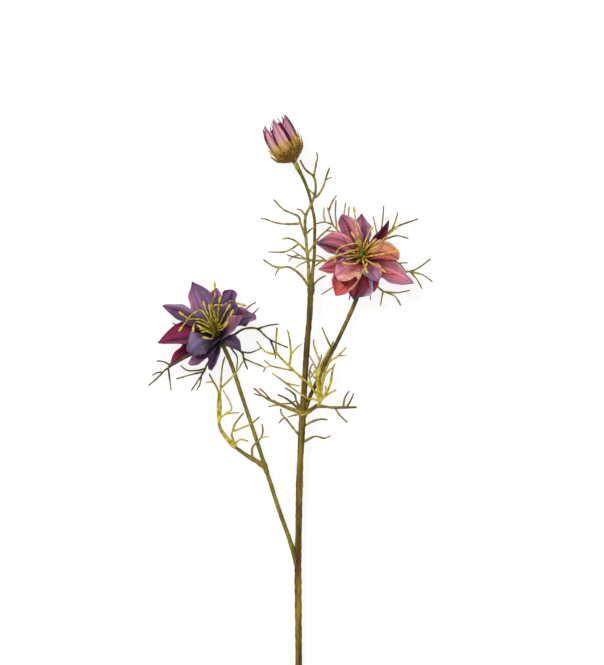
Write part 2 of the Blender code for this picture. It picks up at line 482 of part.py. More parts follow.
def sleeve_path(start, end, radius):
    """A short sleeve round a stem between two points (x, y, z)."""
    start, end = Vector(start), Vector(end)
    middle = (start + end) / 2.0
    return [
        Vector((*start, radius * 0.8)),
        Vector((*middle, radius)),
        Vector((*end, radius * 0.8)),
    ]


def stem_height(y):
    return FOOT_HEIGHT + STEM_SLOPE * y


def combine(obj, others, operation):
    """The object after one Boolean with all the others, which are then removed."""
    scene = bpy.context.scene.collection
    gathered = bpy.data.collections.new("gathered")
    scene.children.link(gathered)
    scene.objects.link(obj)
    for other in others:
        gathered.objects.link(other)
    join = obj.modifiers.new("combine", "BOOLEAN")
    join.operation = operation
    join.operand_type = "COLLECTION"
    join.collection = gathered
    join.solver = "MANIFOLD"
    mesh = evaluated_mesh(obj)
    name = obj.name
    for used in [obj, *others]:
        bpy.data.objects.remove(used)
    bpy.data.collections.remove(gathered)
    return bpy.data.objects.new(name, mesh)


def fuse(name, pieces, finish, parts):
    """One node from its pieces, the first of which carries the others."""
    body = combine(pieces[0], pieces[1:], "UNION")
    return finished(name, body, finish, parts)


def finished(name, body, finish, parts):
    body.name = name
    body.data.name = name
    body.data.materials.clear()
    body.data.materials.append(finish)
    body.data.shade_smooth()
    body.data.set_sharp_from_angle(angle=math.radians(50.0))
    parts.objects.link(body)
    return body


def table_cutter():
    """A block whose top face is the table, which leaves a flat spot on what reaches below."""
    work = bmesh.new()
    bmesh.ops.create_cube(work, size=1.0)
    for vertex in work.verts:
        vertex.co.z -= 0.5
    mesh = bpy.data.meshes.new("table")
    work.to_mesh(mesh)
    work.free()
    return bpy.data.objects.new("table", mesh)


def petal(name, centre, axis, middle, tip, width, roll, cup, ruffle, blunt):
    """A thin blade from the receptacle through its middle to its tip."""
    middle, tip = Vector(middle), Vector(tip)
    reach = tip - centre
    outward = (reach - axis * reach.dot(axis)).normalized()
    root = centre - axis * RECEPTACLE_DROP + outward * (RECEPTACLE_RADIUS * ROOT_SHARE)
    bend = 2.0 * middle - (root + tip) / 2.0
    across = axis.cross(outward).normalized()
    work = bmesh.new()
    bmesh.ops.create_grid(work, x_segments=PETAL_COLUMNS, y_segments=PETAL_ROWS, size=1.0)
    for vertex in work.verts:
        v = vertex.co.x
        u = (vertex.co.y + 1.0) / 2.0
        spine = root * (1 - u) ** 2 + bend * 2 * u * (1 - u) + tip * u**2
        along = ((bend - root) * (1 - u) + (tip - bend) * u).normalized()
        side = across - along * across.dot(along)
        side.rotate(turned(along, roll * min(1.0, u * ROLL_RATE)))
        side.normalize()
        up = along.cross(side)
        half = width / 2.0 * petal_outline(u, blunt)
        ripple = math.sin(RUFFLE_ALONG * u + RUFFLE_ACROSS * v)
        rise = cup * half * 2.0 * v * v + ruffle * ripple * abs(v) * u
        vertex.co = place(spine + side * (half * v) + up * rise)
    return blade(name, work)


def blade(name, work):
    """The solid petal that a bent grid becomes when it gets its thickness."""
    bmesh.ops.triangulate(work, faces=work.faces)
    mesh = bpy.data.meshes.new(name)
    work.to_mesh(mesh)
    work.free()
    sheet = bpy.data.objects.new(name, mesh)
    bpy.context.scene.collection.objects.link(sheet)
    wall = sheet.modifiers.new("wall", "SOLIDIFY")
    wall.thickness = PETAL_THICKNESS * MM
    wall.offset = 0.0
    solid = evaluated_mesh(sheet)
    bpy.data.objects.remove(sheet)
    return welded(name, solid)


def petal_outline(u, blunt, claw=CLAW_SHARE):
    """Half width from root to tip as a share: narrow claw, broad middle, pointed or blunt tip."""
    if u < BROADEST:
        return claw + (1.0 - claw) * math.sin(math.pi / 2.0 * u / BROADEST)
    closing = math.cos(math.pi / 2.0 * (u - BROADEST) / (1.0 - BROADEST))
    return max(TIP_WIDTH_SHARE, max(0.0, closing) ** (POINTED_CLOSING - BLUNT_CLOSING * blunt))


def turned(axis, degrees):
    return Quaternion(axis, math.radians(degrees))


def main_route(extra=0.0):
    route = [Vector((x, y, stem_height(y), r + extra)) for x, y, r in MAIN_STEM]
    route.append(Vector((*(BUD_BASE - BUD_AXIS * GAP), BUD_CUP[0][1] + extra)))
    return smooth(route, STEP_STEM)


def branch_route(branch, centre, axis, extra=0.0):
    """A flower stem up to the underside of its bloom, which it meets square to the axis."""
    route = [Vector((x, y, z, r + extra)) for x, y, z, r in branch]
    for drop in (NECK_DROP + NECK_LENGTH, NECK_DROP):
        route.append(Vector((*(centre - axis * drop), NECK_RADIUS + extra)))
    return smooth(route, STEP_STEM)


def stem_routes(extra=0.0):
    """The centre lines of the main stem, the side stem and the stalk."""
    return [
        main_route(extra),
        branch_route(SIDE_STEM, VIOLET_CENTRE, VIOLET_AXIS, extra),
        branch_route(STALK, PINK_CENTRE, PINK_AXIS, extra),
    ]


def build_stem(parts, finish):
    routes = stem_routes()
    pieces = [tube("stem_tube", route, STEM_SIDES) for route in routes]
    pieces += strands("stem_thread", routes, STEM_THREADS)
    body = combine(pieces[0], pieces[1:], "UNION")
    body = combine(body, [table_cutter()], "DIFFERENCE")
    finished("stem", body, finish, parts)


def build_frond(name, sleeve, threads, finish, parts):
    """A sleeve round a stem with its threads, bored and cleared a gap wider than the stems."""
    carrier = sleeve_path(*sleeve)
    pieces = [tube("sleeve", carrier, STEM_SIDES), *strands(name, [carrier], threads)]
    body = combine(pieces[0], pieces[1:], "UNION")
    routes = stem_routes(GAP)
    body = combine(body, [tube("bore", route, STEM_SIDES) for route in routes], "DIFFERENCE")
    finished(name, body, finish, parts)


def build_bloom(name, centre, axis, petals, stamens, bracts, finishes, parts):
    ruff_centre = centre - axis * RUFF_DROP
    ruff = [ball("ruff", ruff_centre, axis, RUFF_RADIUS, RUFF_HALF, 10, 5)]
    ruff += strands("bract", [[ruff_centre, ruff_centre]], bracts)
    fuse(name + "_bracts", ruff, finishes["leaf"], parts)

    seat = centre - axis * RECEPTACLE_DROP
    blades = [ball("receptacle", seat, axis, RECEPTACLE_RADIUS, RECEPTACLE_HALF)]
    for i, shape in enumerate(petals):
        blades.append(petal(f"petal_{i}", centre, axis, *shape))
    body = combine(blades[0], blades[1:], "UNION")
    body = combine(body, [table_cutter()], "DIFFERENCE")
    finished(name + "_petals", body, finishes[name], parts)

    ring_centre = centre + axis * RING_RISE
    ring = [ball("ring", ring_centre, axis, RING_RADIUS, RING_HALF, 12, 4)]
    for i, (heights, outline) in enumerate(stamens):
        ring.append(stamen(f"stamen_{i}", ring_centre, axis, heights, outline))
    fuse(name + "_stamens", ring, finishes["pollen"], parts)

    ovary = ball(name + "_ovary", centre + axis * OVARY_RISE, axis, OVARY_RADIUS, OVARY_HALF)
    finished(name + "_ovary", ovary, finishes["ovary"], parts)


def stamen(name, ring, axis, heights, outline):
    """A thread that stands up beside the ovary, arches outwards and ends in a club."""
    middle, high = heights
    reach = Vector((*outline[0], middle)) - ring
    outward = (reach - axis * reach.dot(axis)).normalized()
    root = ring + outward * STAMEN_CIRCLE
    route = [root, root + axis * STAMEN_STAND + outward * STAMEN_LEAN]
    for i, (x, y) in enumerate(outline):
        t = i / max(1, len(outline) - 1)
        route.append(Vector((x, y, middle * (1 - t) + high * t)))
    path = [Vector((*point, STAMEN_RADIUS)) for point in smooth(route, STEP_STAMEN)]
    path[-1].w = STAMEN_RADIUS * CLUB_SHARE
    path[-2].w = STAMEN_RADIUS * CLUB_NECK_SHARE
    return tube(name, path, THREAD_SIDES)


def build_bud(parts, finishes):
    pieces = [bud_cup()]
    draw = random.Random(NEEDLE_SEED)
    for k in range(NEEDLE_COUNT):
        angle = 2.0 * math.pi * (k + draw.uniform(-SPACING_JITTER, SPACING_JITTER)) / NEEDLE_COUNT
        pieces.append(tube(f"needle_{k}", needle_path(angle, draw), THREAD_SIDES))
    fuse("bud_needles", pieces, finishes["leaf"], parts)

    core = BUD_BASE + BUD_AXIS * BUD_CORE_RISE
    turn = BUD_AXIS.to_track_quat("Z", "Y")
    draw = random.Random(BUD_PETAL_SEED)
    blades = [ball("bud_core", core, BUD_AXIS, BUD_CORE_RADIUS, BUD_CORE_HALF, 8, 4)]
    for k in range(BUD_PETAL_COUNT):
        jitter = draw.uniform(-BUD_PETAL_JITTER, BUD_PETAL_JITTER)
        angle = 2.0 * math.pi * (k + jitter) / BUD_PETAL_COUNT
        tuck = draw.uniform(0.0, BUD_PETAL_TUCK)
        out = turn @ Vector((math.cos(angle), math.sin(angle), 0.0))
        blades.append(bud_petal(f"bud_petal_{k}", core, out, tuck))
    fuse("bud_petals", blades, finishes["bud"], parts)


def bud_cup():
    """The turned cup under the bud, closed at both ends."""
    turn = BUD_AXIS.to_track_quat("Z", "Y")
    work = bmesh.new()
    rings = []
    for rise, radius in BUD_CUP:
        ring = []
        for k in range(BUD_CUP_SIDES):
            angle = 2.0 * math.pi * k / BUD_CUP_SIDES
            offset = Vector((radius * math.cos(angle), radius * math.sin(angle), rise))
            ring.append(work.verts.new(place(BUD_BASE + turn @ offset)))
        rings.append(ring)
    for low, high in zip(rings, rings[1:]):
        for k in range(BUD_CUP_SIDES):
            n = (k + 1) % BUD_CUP_SIDES
            work.faces.new((low[k], low[n], high[n], high[k]))
    work.faces.new(list(reversed(rings[0])))
    work.faces.new(rings[-1])
    mesh = bpy.data.meshes.new("cup")
    work.to_mesh(mesh)
    work.free()
    return bpy.data.objects.new("cup", mesh)


def cup_radius(rise):
    for (low, near), (high, far) in zip(BUD_CUP, BUD_CUP[1:]):
        if rise <= high:
            return near + (far - near) * (rise - low) / (high - low)
    return BUD_CUP[-1][1]


def needle_path(angle, draw):
    """A needle that springs from the cup's side and clings to the petals above it."""
    turn = BUD_AXIS.to_track_quat("Z", "Y")
    rise = draw.uniform(*NEEDLE_RISE)
    length = draw.uniform(*NEEDLE_LENGTH)
    splay = draw.uniform(0.0, NEEDLE_SPLAY)
    out = Vector((math.cos(angle), math.sin(angle), 0.0))
    lean = Vector((-math.sin(angle), math.cos(angle), 0.0)) * draw.uniform(-NEEDLE_LEAN, NEEDLE_LEAN)
    bow = max(cup_radius(rise) + NEEDLE_STANDOFF, NEEDLE_BOW)
    start = out * (cup_radius(rise) - NEEDLE_ROOT_DEPTH) + Vector((0.0, 0.0, rise))
    middle = out * bow + lean * 0.4 + Vector((0.0, 0.0, rise + length * 0.4))
    end = out * (NEEDLE_END + splay) + lean + Vector((0.0, 0.0, rise + length))
    route = smooth([BUD_BASE + turn @ p for p in (start, middle, end)], NEEDLE_STEP)
    path = []
    for i, point in enumerate(route):
        path.append(Vector((*point, NEEDLE_RADIUS * (1 - NEEDLE_TAPER * i / len(route)))))
    return path


def bud_petal(name, core, out, tuck):
    """A hollow blade that stands on the cup and leans in towards the bud's mouth."""
    bow_rise, bow_radius = BUD_PETAL_BOW
    tip_rise, tip_radius = BUD_PETAL_TIP
    root = core + out * (BUD_CORE_RADIUS - BUD_ROOT_INSET) - BUD_AXIS * BUD_ROOT_DEPTH
    middle = core + BUD_AXIS * bow_rise + out * (bow_radius - 0.4 * tuck)
    tip = core + BUD_AXIS * (tip_rise - 2.5 * tuck) + out * (tip_radius + tuck)
    bend = 2.0 * middle - (root + tip) / 2.0
    across = BUD_AXIS.cross(out).normalized()
    work = bmesh.new()
    bmesh.ops.create_grid(work, x_segments=BUD_PETAL_COLUMNS, y_segments=BUD_PETAL_ROWS, size=1.0)
    for vertex in work.verts:
        v = vertex.co.x
        u = (vertex.co.y + 1.0) / 2.0
        spine = root * (1 - u) ** 2 + bend * 2 * u * (1 - u) + tip * u**2
        half = BUD_PETAL_WIDTH / 2.0 * petal_outline(u, BUD_PETAL_BLUNT, BUD_CLAW_SHARE)
        vertex.co = place(spine + across * (half * v) - out * (half * BUD_PETAL_HOLLOW * v * v))
    return blade(name, work)


clear_scene()
spray = collection("nigella_flower_spray")
finish_of = {
    "stem": material("stem_wrap", (0.16, 0.12, 0.025), 0.6),
    "leaf": material("leaf_thread", (0.36, 0.32, 0.04), 0.55),
    "violet": material("violet_petal", (0.16, 0.09, 0.20), 0.7),
    "pink": material("coral_petal", (0.60, 0.16, 0.18), 0.7),
    "pollen": material("stamen", (0.50, 0.38, 0.04), 0.5),
    "ovary": material("ovary", (0.20, 0.27, 0.05), 0.5),
    "bud": material("bud_petal", (0.55, 0.20, 0.26), 0.7),
}
build_stem(spray, finish_of["stem"])
build_frond("leaf_whorl", WHORL_COLLAR, WHORL, finish_of["leaf"], spray)
build_frond("upper_frond", UPPER_COLLAR, UPPER_FROND, finish_of["leaf"], spray)
build_frond("side_frond", SIDE_COLLAR, SIDE_FROND, finish_of["leaf"], spray)
build_bloom(
    "violet", VIOLET_CENTRE, VIOLET_AXIS, VIOLET_PETALS, VIOLET_STAMENS, VIOLET_BRACTS, finish_of, spray
)
build_bloom(
    "pink", PINK_CENTRE, PINK_AXIS, PINK_PETALS, PINK_STAMENS, PINK_BRACTS, finish_of, spray
)
build_bud(spray, finish_of)
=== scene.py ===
import functools
import math
import random

import bmesh
import bpy
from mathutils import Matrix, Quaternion, Vector, noise


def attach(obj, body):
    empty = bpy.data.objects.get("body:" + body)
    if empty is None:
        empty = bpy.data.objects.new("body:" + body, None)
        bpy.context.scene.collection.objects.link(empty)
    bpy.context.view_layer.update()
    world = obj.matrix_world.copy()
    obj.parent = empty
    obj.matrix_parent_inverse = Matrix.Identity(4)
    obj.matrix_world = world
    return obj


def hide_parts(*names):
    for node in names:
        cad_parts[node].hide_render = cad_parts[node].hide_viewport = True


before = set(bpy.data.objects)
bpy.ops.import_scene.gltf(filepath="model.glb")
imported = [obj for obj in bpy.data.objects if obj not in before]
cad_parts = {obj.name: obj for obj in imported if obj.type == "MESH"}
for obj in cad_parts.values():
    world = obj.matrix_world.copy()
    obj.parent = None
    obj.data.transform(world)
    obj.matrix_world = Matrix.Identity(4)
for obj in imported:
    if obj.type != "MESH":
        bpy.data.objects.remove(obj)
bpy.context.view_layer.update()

# The table top is a sheet of white acrylic, faintly lit from beneath, on which the cut spray
# lies. With the broad lamps above it hardly shows a shadow. The camera looks straight down on
# it from far above, over a field as high as the picture.
FIELD_CENTRE = Vector((0.0081, 0.06105, 0.012))
FIELD_HEIGHT = 0.4655
CAMERA_RISE = 3.4
CAMERA_SIGHT = 20.0
SENSOR_HEIGHT = 24.0
TABLE_SIDE = 8.0
TABLE_DROP = 0.0006
TABLE_COLOUR = (0.26, 0.26, 0.258, 1.0)
TABLE_SPECKLE = (0.2574, 0.2574, 0.25542, 1.0)
TABLE_SPECKLES_A_METRE = 40.0
TABLE_FINISH = {"Roughness": 0.85, "Specular IOR Level": 0.2, "Emission Strength": 3.1}
SKY = {"Color": (1.0, 1.0, 1.0, 1.0), "Strength": 0.41}
LAMPS = [
    ("window_lamp", (-0.9, 1.1, 1.7), 0.7, 29.0),
    ("ceiling_lamp", (0.3, -0.2, 2.4), 2.0, 17.0),
]


def feed(tree, node, inputs):
    """Each input of a node takes a value, or a link from the socket that feeds it."""
    for name, value in inputs.items():
        if isinstance(value, bpy.types.NodeSocket):
            tree.links.new(value, node.inputs[name])
        else:
            node.inputs[name].default_value = value


def add(tree, kind, inputs={}, **settings):
    """Adds a node with its settings and its inputs, and gives its outputs."""
    node = tree.nodes.new(kind)
    for name, value in settings.items():
        setattr(node, name, value)
    feed(tree, node, inputs)
    return node.outputs


def mixed(tree, mask, low, high, mode="MIX"):
    """The colour that goes from low to high with the mask; each is a colour or a socket."""
    inputs = {"Factor": mask, "A": low, "B": high}
    kind = {"data_type": "RGBA", "blend_type": mode, "clamp_factor": True}
    return add(tree, "ShaderNodeMix", inputs, **kind)["Result"]


def fresh_material(name, inputs):
    """A material, its tree of nodes and its one shader, with that shader's inputs set."""
    material = bpy.data.materials.new(name)
    material.use_nodes = True
    shader = material.node_tree.nodes["Principled BSDF"]
    feed(material.node_tree, shader, inputs)
    return material, material.node_tree, shader


def shown(name, data):
    """A new object in the scene."""
    made = bpy.data.objects.new(name, data)
    bpy.context.scene.collection.objects.link(made)
    return made


acrylic, tree, shader = fresh_material("white_acrylic", TABLE_FINISH)
where = add(tree, "ShaderNodeTexCoord")["Object"]
speckle = add(tree, "ShaderNodeTexNoise", {"Scale": TABLE_SPECKLES_A_METRE, "Vector": where})["Fac"]
tone = mixed(tree, speckle, TABLE_COLOUR, TABLE_SPECKLE)
feed(tree, shader, {"Base Color": tone, "Emission Color": tone})

top = bmesh.new()
bmesh.ops.create_grid(top, x_segments=1, y_segments=1, size=TABLE_SIDE / 2.0)
bmesh.ops.translate(top, verts=top.verts, vec=(0.0, 0.0, -TABLE_DROP))
top_mesh = bpy.data.meshes.new("table_top")
top.to_mesh(top_mesh)
top.free()
top_mesh.materials.append(acrylic)
table_top = shown("table_top", top_mesh)

sky = bpy.data.worlds.new("sky")
sky.use_nodes = True
feed(sky.node_tree, sky.node_tree.nodes["Background"], SKY)
bpy.context.scene.world = sky
for name, at, size, power in LAMPS:
    light = bpy.data.lights.new(name, "AREA")
    light.shape = "DISK"
    light.size = size
    light.energy = power
    lamp = shown(name, light)
    lamp.location = Vector(at)
    lamp.rotation_euler = (FIELD_CENTRE - Vector(at)).to_track_quat("-Z", "Y").to_euler()

lens = bpy.data.cameras.new("camera")
lens.sensor_fit = "VERTICAL"
lens.sensor_height = SENSOR_HEIGHT
lens.lens = SENSOR_HEIGHT * CAMERA_RISE / FIELD_HEIGHT
lens.clip_end = CAMERA_SIGHT
camera = shown("camera", lens)
camera.location = FIELD_CENTRE + Vector((0.0, 0.0, CAMERA_RISE))
bpy.context.scene.camera = camera
bpy.context.scene.view_settings.view_transform = "Standard"


# The stems are wires wrapped in olive florist's tape: a main stem, a side stem and a flower
# stalk. The tape ends in small lips, swells where a branch is bound in and is stained
# red-brown in places. Places are in millimetres on a drawing whose x = 0 is the foot's axis.
MM = 0.001
ORIGIN = Vector((-5.3, 211.7, 0.0))
LAMP_LIFT = 1.12
SKIN_SHINE = 0.16
FOOT_HEIGHT = 2.15
STEM_SLOPE = 0.035
STEM_STEP = 1.2
STEM_SHARE = 1.06
STEM_SKIN = {"Sides": 28, "Roughen": 0.13, "Bumps a Metre": 420.0, "Wander": 0.0}
# Main stem: x, y and radius. Branches: x, y, height and radius.
MAIN_STEM = [
    (0.0, 0.0, 2.25), (0.5, 40.0, 2.2), (0.0, 107.0, 2.3), (0.4, 133.0, 2.15), (1.0, 165.0, 2.3),
    (1.8, 188.0, 2.1), (3.2, 214.0, 2.3), (4.5, 235.0, 2.0), (5.5, 251.5, 1.95),
    (6.6, 267.5, 1.95), (8.0, 283.0, 1.9), (9.0, 303.0, 1.9), (10.0, 314.0, 1.2),
    (11.3, 325.0, 1.1), (11.6, 339.0, 1.0), (11.6, 351.0, 1.0), (9.7, 360.5, 1.0),
    (8.0, 368.5, 1.0), (5.5, 376.0, 1.0), (2.6, 382.5, 1.1), (-0.6, 388.5, 1.5),
]
SIDE_STEM = [
    (0.2, 103.0, 5.8, 1.9), (-1.8, 114.0, 6.1, 1.8), (-6.4, 129.0, 6.2, 1.45),
    (-13.5, 149.0, 6.2, 1.4), (-22.5, 177.0, 6.2, 1.35), (-30.8, 202.5, 6.2, 1.3),
    (-39.8, 229.5, 5.9, 1.3), (-46.0, 248.5, 4.8, 1.3),
]
STALK = [
    (3.6, 214.0, 9.7, 1.6), (8.0, 227.0, 9.4, 1.4), (12.0, 235.5, 9.0, 1.3),
    (19.5, 252.0, 8.2, 1.3), (24.5, 260.5, 7.6, 1.3), (34.6, 281.5, 6.0, 1.35),
    (41.6, 298.0, 4.4, 1.4), (44.2, 309.0, 2.8, 1.4),
]
VIOLET_CENTRE = Vector((-57.0, 271.5, 14.0))
VIOLET_AXIS = Vector((-0.36, 0.66, 0.66)).normalized()
PINK_CENTRE = Vector((44.5, 325.0, 16.0))
PINK_AXIS = Vector((0.0, 0.42, 0.91)).normalized()
NECK_DROPS = (15.3, 11.9)
NECK_RADIUS = 1.45
BUD_BASE = Vector((-1.9, 391.6, 16.0))
BUD_AXIS = Vector((-0.52, 0.854, 0.0)).normalized()
BUD_FOOT_DEPTH = 0.2
BUD_FOOT_RADIUS = 1.7
TAPE_LIPS = [24.0, 58.0, 90.5, 97.0, 121.0, 143.0, 164.6, 189.0, 236.0, 262.0, 285.0]
LIP_HEIGHT = 0.16
LIP_LENGTH = 4.0
# Each stain: the height on the drawing, its reach and how strong it is.
STAINS = [
    (113.0, 12.0, 0.9), (172.0, 12.0, 0.85), (150.0, 6.0, 0.45), (228.0, 14.0, 0.5),
    (262.0, 20.0, 0.6),
]
# How young each stem is all along; the main one also turns young above a height.
STEM_YOUTH = (0.0, 0.35, 0.0)
YOUNG_TOP = 386.5
YOUNG_FADE = 2.0
CUT_LENGTH = 0.6
CUT_BELOW = 5.0
RELIEF_STRENGTH = 0.6
# Where the painted shade on a skin's slanting outline begins.
SLANT_SHADE_START = 0.42


def place(point):
    """A point of the drawing in the spray's own frame, in metres."""
    return (point - ORIGIN) * MM


def paint(code, strength=LAMP_LIFT):
    """A colour as it looks under the bright lamps, in the linear values that a shader takes."""
    parts = [int(code[i:i + 2], 16) / 255.0 for i in (0, 2, 4)]
    linear = [c / 12.92 if c <= 0.04045 else ((c + 0.055) / 1.055) ** 2.4 for c in parts]
    return (*[strength * c for c in linear], 1.0)


def smooth(points, step):
    """Points about a step apart on the smooth curve through the given ones."""
    last = len(points) - 1
    found = []
    for i in range(last):
        before, start, end = points[max(i - 1, 0)], points[i], points[i + 1]
        after = points[min(i + 2, last)]
        pieces = max(1, round((end - start).to_3d().length / step))
        for k in range(pieces):
            t = k / pieces
            bow = 2.0 * start + (end - before) * t
            bow += (2.0 * before - 5.0 * start + 4.0 * end - after) * t**2
            bow += (3.0 * start - before - 3.0 * end + after) * t**3
            found.append(0.5 * bow)
    found.append(points[-1].copy())
    return found


def fat(point, radius):
    """The point with a radius for its fourth number."""
    return Vector((*point, radius))


def distances(path):
    """How far each point of a path lies from its first one, along it."""
    found = [0.0]
    for a, b in zip(path, path[1:]):
        found.append(found[-1] + (b - a).to_3d().length)
    return found


def branch_route(branch, centre, axis):
    """A flower stem up to the underside of its bloom, which it meets square to the axis."""
    route = [Vector(point) for point in branch]
    route += [fat(centre - axis * drop, NECK_RADIUS) for drop in NECK_DROPS]
    return smooth(route, STEM_STEP)


def new_group(name, kind, inputs, outputs):
    """A node group, the sockets that it is given and the node that takes its results."""
    group = bpy.data.node_groups.new(name, kind)
    for way, sockets in (("INPUT", inputs), ("OUTPUT", outputs)):
        for label, value in sockets.items():
            group.interface.new_socket(label, in_out=way, socket_type="NodeSocket" + value)
    return group, add(group, "NodeGroupInput"), group.nodes.new("NodeGroupOutput")


def end_tree(tree, result, mesh, finish):
    """Every tree of geometry ends in smooth shading, real geometry and its finish."""
    soft = add(tree, "GeometryNodeSetShadeSmooth", {"Geometry": mesh})[0]
    real = add(tree, "GeometryNodeRealizeInstances", {"Geometry": soft})[0]
    coated = add(tree, "GeometryNodeSetMaterial", {"Geometry": real, "Material": finish})[0]
    feed(tree, result, {0: coated})
    return tree


def reckon(tree, operation, *values, **settings):
    """The result of a sum on values and sockets."""
    inputs = dict(enumerate(values))
    return add(tree, "ShaderNodeMath", inputs, operation=operation, **settings)[0]


def aimed(tree, operation, inputs):
    """The result of a sum on directions."""
    return add(tree, "ShaderNodeVectorMath", inputs, operation=operation)[0]


def skin_tree():
    """Puts a rough round skin on loose edges, as thick as each point's own thickness."""
    tree, given, result = new_group("round_skin", "GeometryNodeTree", {
        "Guide": "Geometry", "Sides": "Int", "Roughen": "Float", "Bumps a Metre": "Float",
        "Wander": "Float", "Finish": "Material",
    }, {"Skin": "Geometry"})
    bumps = add(tree, "ShaderNodeTexNoise", {"Detail": 1.0, "Scale": given["Bumps a Metre"]})
    swerve = aimed(tree, "SUBTRACT", {0: bumps["Color"], 1: (0.5, 0.5, 0.5)})
    drift = aimed(tree, "SCALE", {0: swerve, "Scale": given["Wander"]})
    moved = add(tree, "GeometryNodeSetPosition", {"Geometry": given["Guide"], "Offset": drift})[0]
    curve = add(tree, "GeometryNodeMeshToCurve", {"Mesh": moved})[0]
    thick = add(tree, "GeometryNodeInputNamedAttribute", {"Name": "thickness"}, data_type="FLOAT")
    swell = {
        "Value": bumps["Fac"], "From Min": 0.3, "From Max": 0.7,
        "To Min": reckon(tree, "MULTIPLY_ADD", given["Roughen"], -0.5, 1.0),
        "To Max": reckon(tree, "MULTIPLY_ADD", given["Roughen"], 0.5, 1.0),
    }
    swell = add(tree, "ShaderNodeMapRange", swell)["Result"]
    girth = reckon(tree, "MULTIPLY", thick["Attribute"], swell)
    circle = {"Radius": 1.0, "Resolution": given["Sides"]}
    ring = add(tree, "GeometryNodeCurvePrimitiveCircle", circle)["Curve"]
    sweep = {"Curve": curve, "Profile Curve": ring, "Scale": girth, "Fill Caps": True}
    skin = add(tree, "GeometryNodeCurveToMesh", sweep)[0]
    return end_tree(tree, result, skin, given["Finish"])


def guide_mesh(name, paths, marks):
    """Loose edges along the paths, each point with its thickness and its named marks."""
    mesh = bpy.data.meshes.new(name + "_guide")
    points = [point for path in paths for point in path]
    edges, start = [], 0
    for path in paths:
        edges += [(start + i, start + i + 1) for i in range(len(path) - 1)]
        start += len(path)
    mesh.from_pydata([place(point.to_3d()) for point in points], edges, [])
    for label, values in {"thickness": [point.w * MM for point in points], **marks}.items():
        mesh.attributes.new(label, "FLOAT", "POINT").data.foreach_set("value", values)
    return mesh


def settled(name, guide):
    """A plain object with the guide's finished mesh; the guide is removed."""
    bpy.context.view_layer.update()
    graph = bpy.context.evaluated_depsgraph_get()
    mesh = bpy.data.meshes.new_from_object(guide.evaluated_get(graph))
    mesh.name = name
    bpy.data.objects.remove(guide)
    return shown(name, mesh)


def grown(name, tree, mesh, sizes, finish):
    """The piece that a tree of Geometry Nodes grows on a mesh with the given sizes."""
    guide = shown(name + "_guide", mesh)
    growth = guide.modifiers.new("growth", "NODES")
    growth.node_group = tree
    given = {**sizes, "Finish": finish}
    for socket in tree.interface.items_tree:
        if socket.in_out == "INPUT" and socket.name in given:
            growth[socket.identifier] = given[socket.name]
    return settled(name, guide)


def skinned(name, paths, marks, sizes, finish):
    """The piece that is a round skin on paths, with marks for its finish to read."""
    return grown(name, SKIN, guide_mesh(name, paths, marks), sizes, finish)


def mottle_group():
    """Soft blotches and fine specks that break up a plain colour, as masks and a height."""
    group, given, result = new_group("grown_mottle", "ShaderNodeTree", {
        "Vector": "Vector", "Blotches a Metre": "Float", "Specks a Metre": "Float",
    }, {"Blotch": "Float", "Speck": "Float", "Height": "Float"})
    clouds = []
    for label, size, detail in (
        ("Blotch", "Blotches a Metre", 3.0),
        ("Speck", "Specks a Metre", 2.0),
    ):
        cloud = {"Detail": detail, "Vector": given["Vector"], "Scale": given[size]}
        clouds.append(add(group, "ShaderNodeTexNoise", cloud)["Fac"])
        mask = {"From Min": 0.35, "From Max": 0.65, "Value": clouds[-1]}
        feed(group, result, {label: add(group, "ShaderNodeMapRange", mask)["Result"]})
    feed(group, result, {"Height": reckon(group, "ADD", *clouds)})
    return group


def scaled(tree, value, factor=1.0, plus=0.0):
    """The factor times a value, plus an amount, kept between 0 and 1."""
    return reckon(tree, "MULTIPLY_ADD", value, factor, plus, use_clamp=True)


def mottled(tree, clouds, stretch=(1.0, 1.0, 1.0)):
    """The mottle's masks and height on a piece; clouds are its blotches and specks a metre."""
    where = add(tree, "ShaderNodeTexCoord")["Object"]
    where = add(tree, "ShaderNodeMapping", {"Scale": stretch, "Vector": where})[0]
    inputs = {"Blotches a Metre": clouds[0], "Specks a Metre": clouds[1], "Vector": where}
    return add(tree, "ShaderNodeGroup", inputs, node_tree=MOTTLE)


def relief(tree, shader, height, depth):
    """Fine bumps as high as the depth in metres."""
    bump = {"Strength": RELIEF_STRENGTH, "Distance": depth, "Height": height}
    feed(tree, shader, {"Normal": add(tree, "ShaderNodeBump", bump)[0]})


def slant_shade(factor):
    """The mask of painted shade on the outline, where the skin is seen at a slant."""
    return ("slant_shade", factor, -SLANT_SHADE_START * factor)


def layered(name, base, layers, clouds, depth, roughness, stretch=(1.0, 1.0, 1.0), sheen=0.0):
    """A base colour with others laid on it in turn. A layer's mask is the product of its terms:
    a mottle mask, the painted shade on the slanting outline or a mark of the mesh, which may be
    changed by a factor and an amount. The roughness is a factor times the blotches, plus an amount."""
    look = {"Specular IOR Level": SKIN_SHINE, "Sheen Weight": sheen}
    material, tree, shader = fresh_material(name, look)
    mottle = mottled(tree, clouds, stretch)
    colour = base
    for cover, *terms in layers:
        mask = None
        for source, *change in terms:
            if source in ("Blotch", "Speck"):
                share = mottle[source]
            # Painted shade on the outline, where the skin is seen at a slant.
            elif source == "slant_shade":
                share = add(tree, "ShaderNodeLayerWeight", {"Blend": 0.5})["Facing"]
            else:
                share = add(tree, "ShaderNodeAttribute", attribute_name=source)["Fac"]
            share = scaled(tree, share, *change)
            mask = reckon(tree, "MULTIPLY", mask, share) if mask else share
        colour = mixed(tree, mask, colour, cover)
    rough = scaled(tree, mottle["Blotch"], *roughness)
    feed(tree, shader, {"Base Color": colour, "Roughness": rough})
    relief(tree, shader, mottle["Height"], depth)
    return material


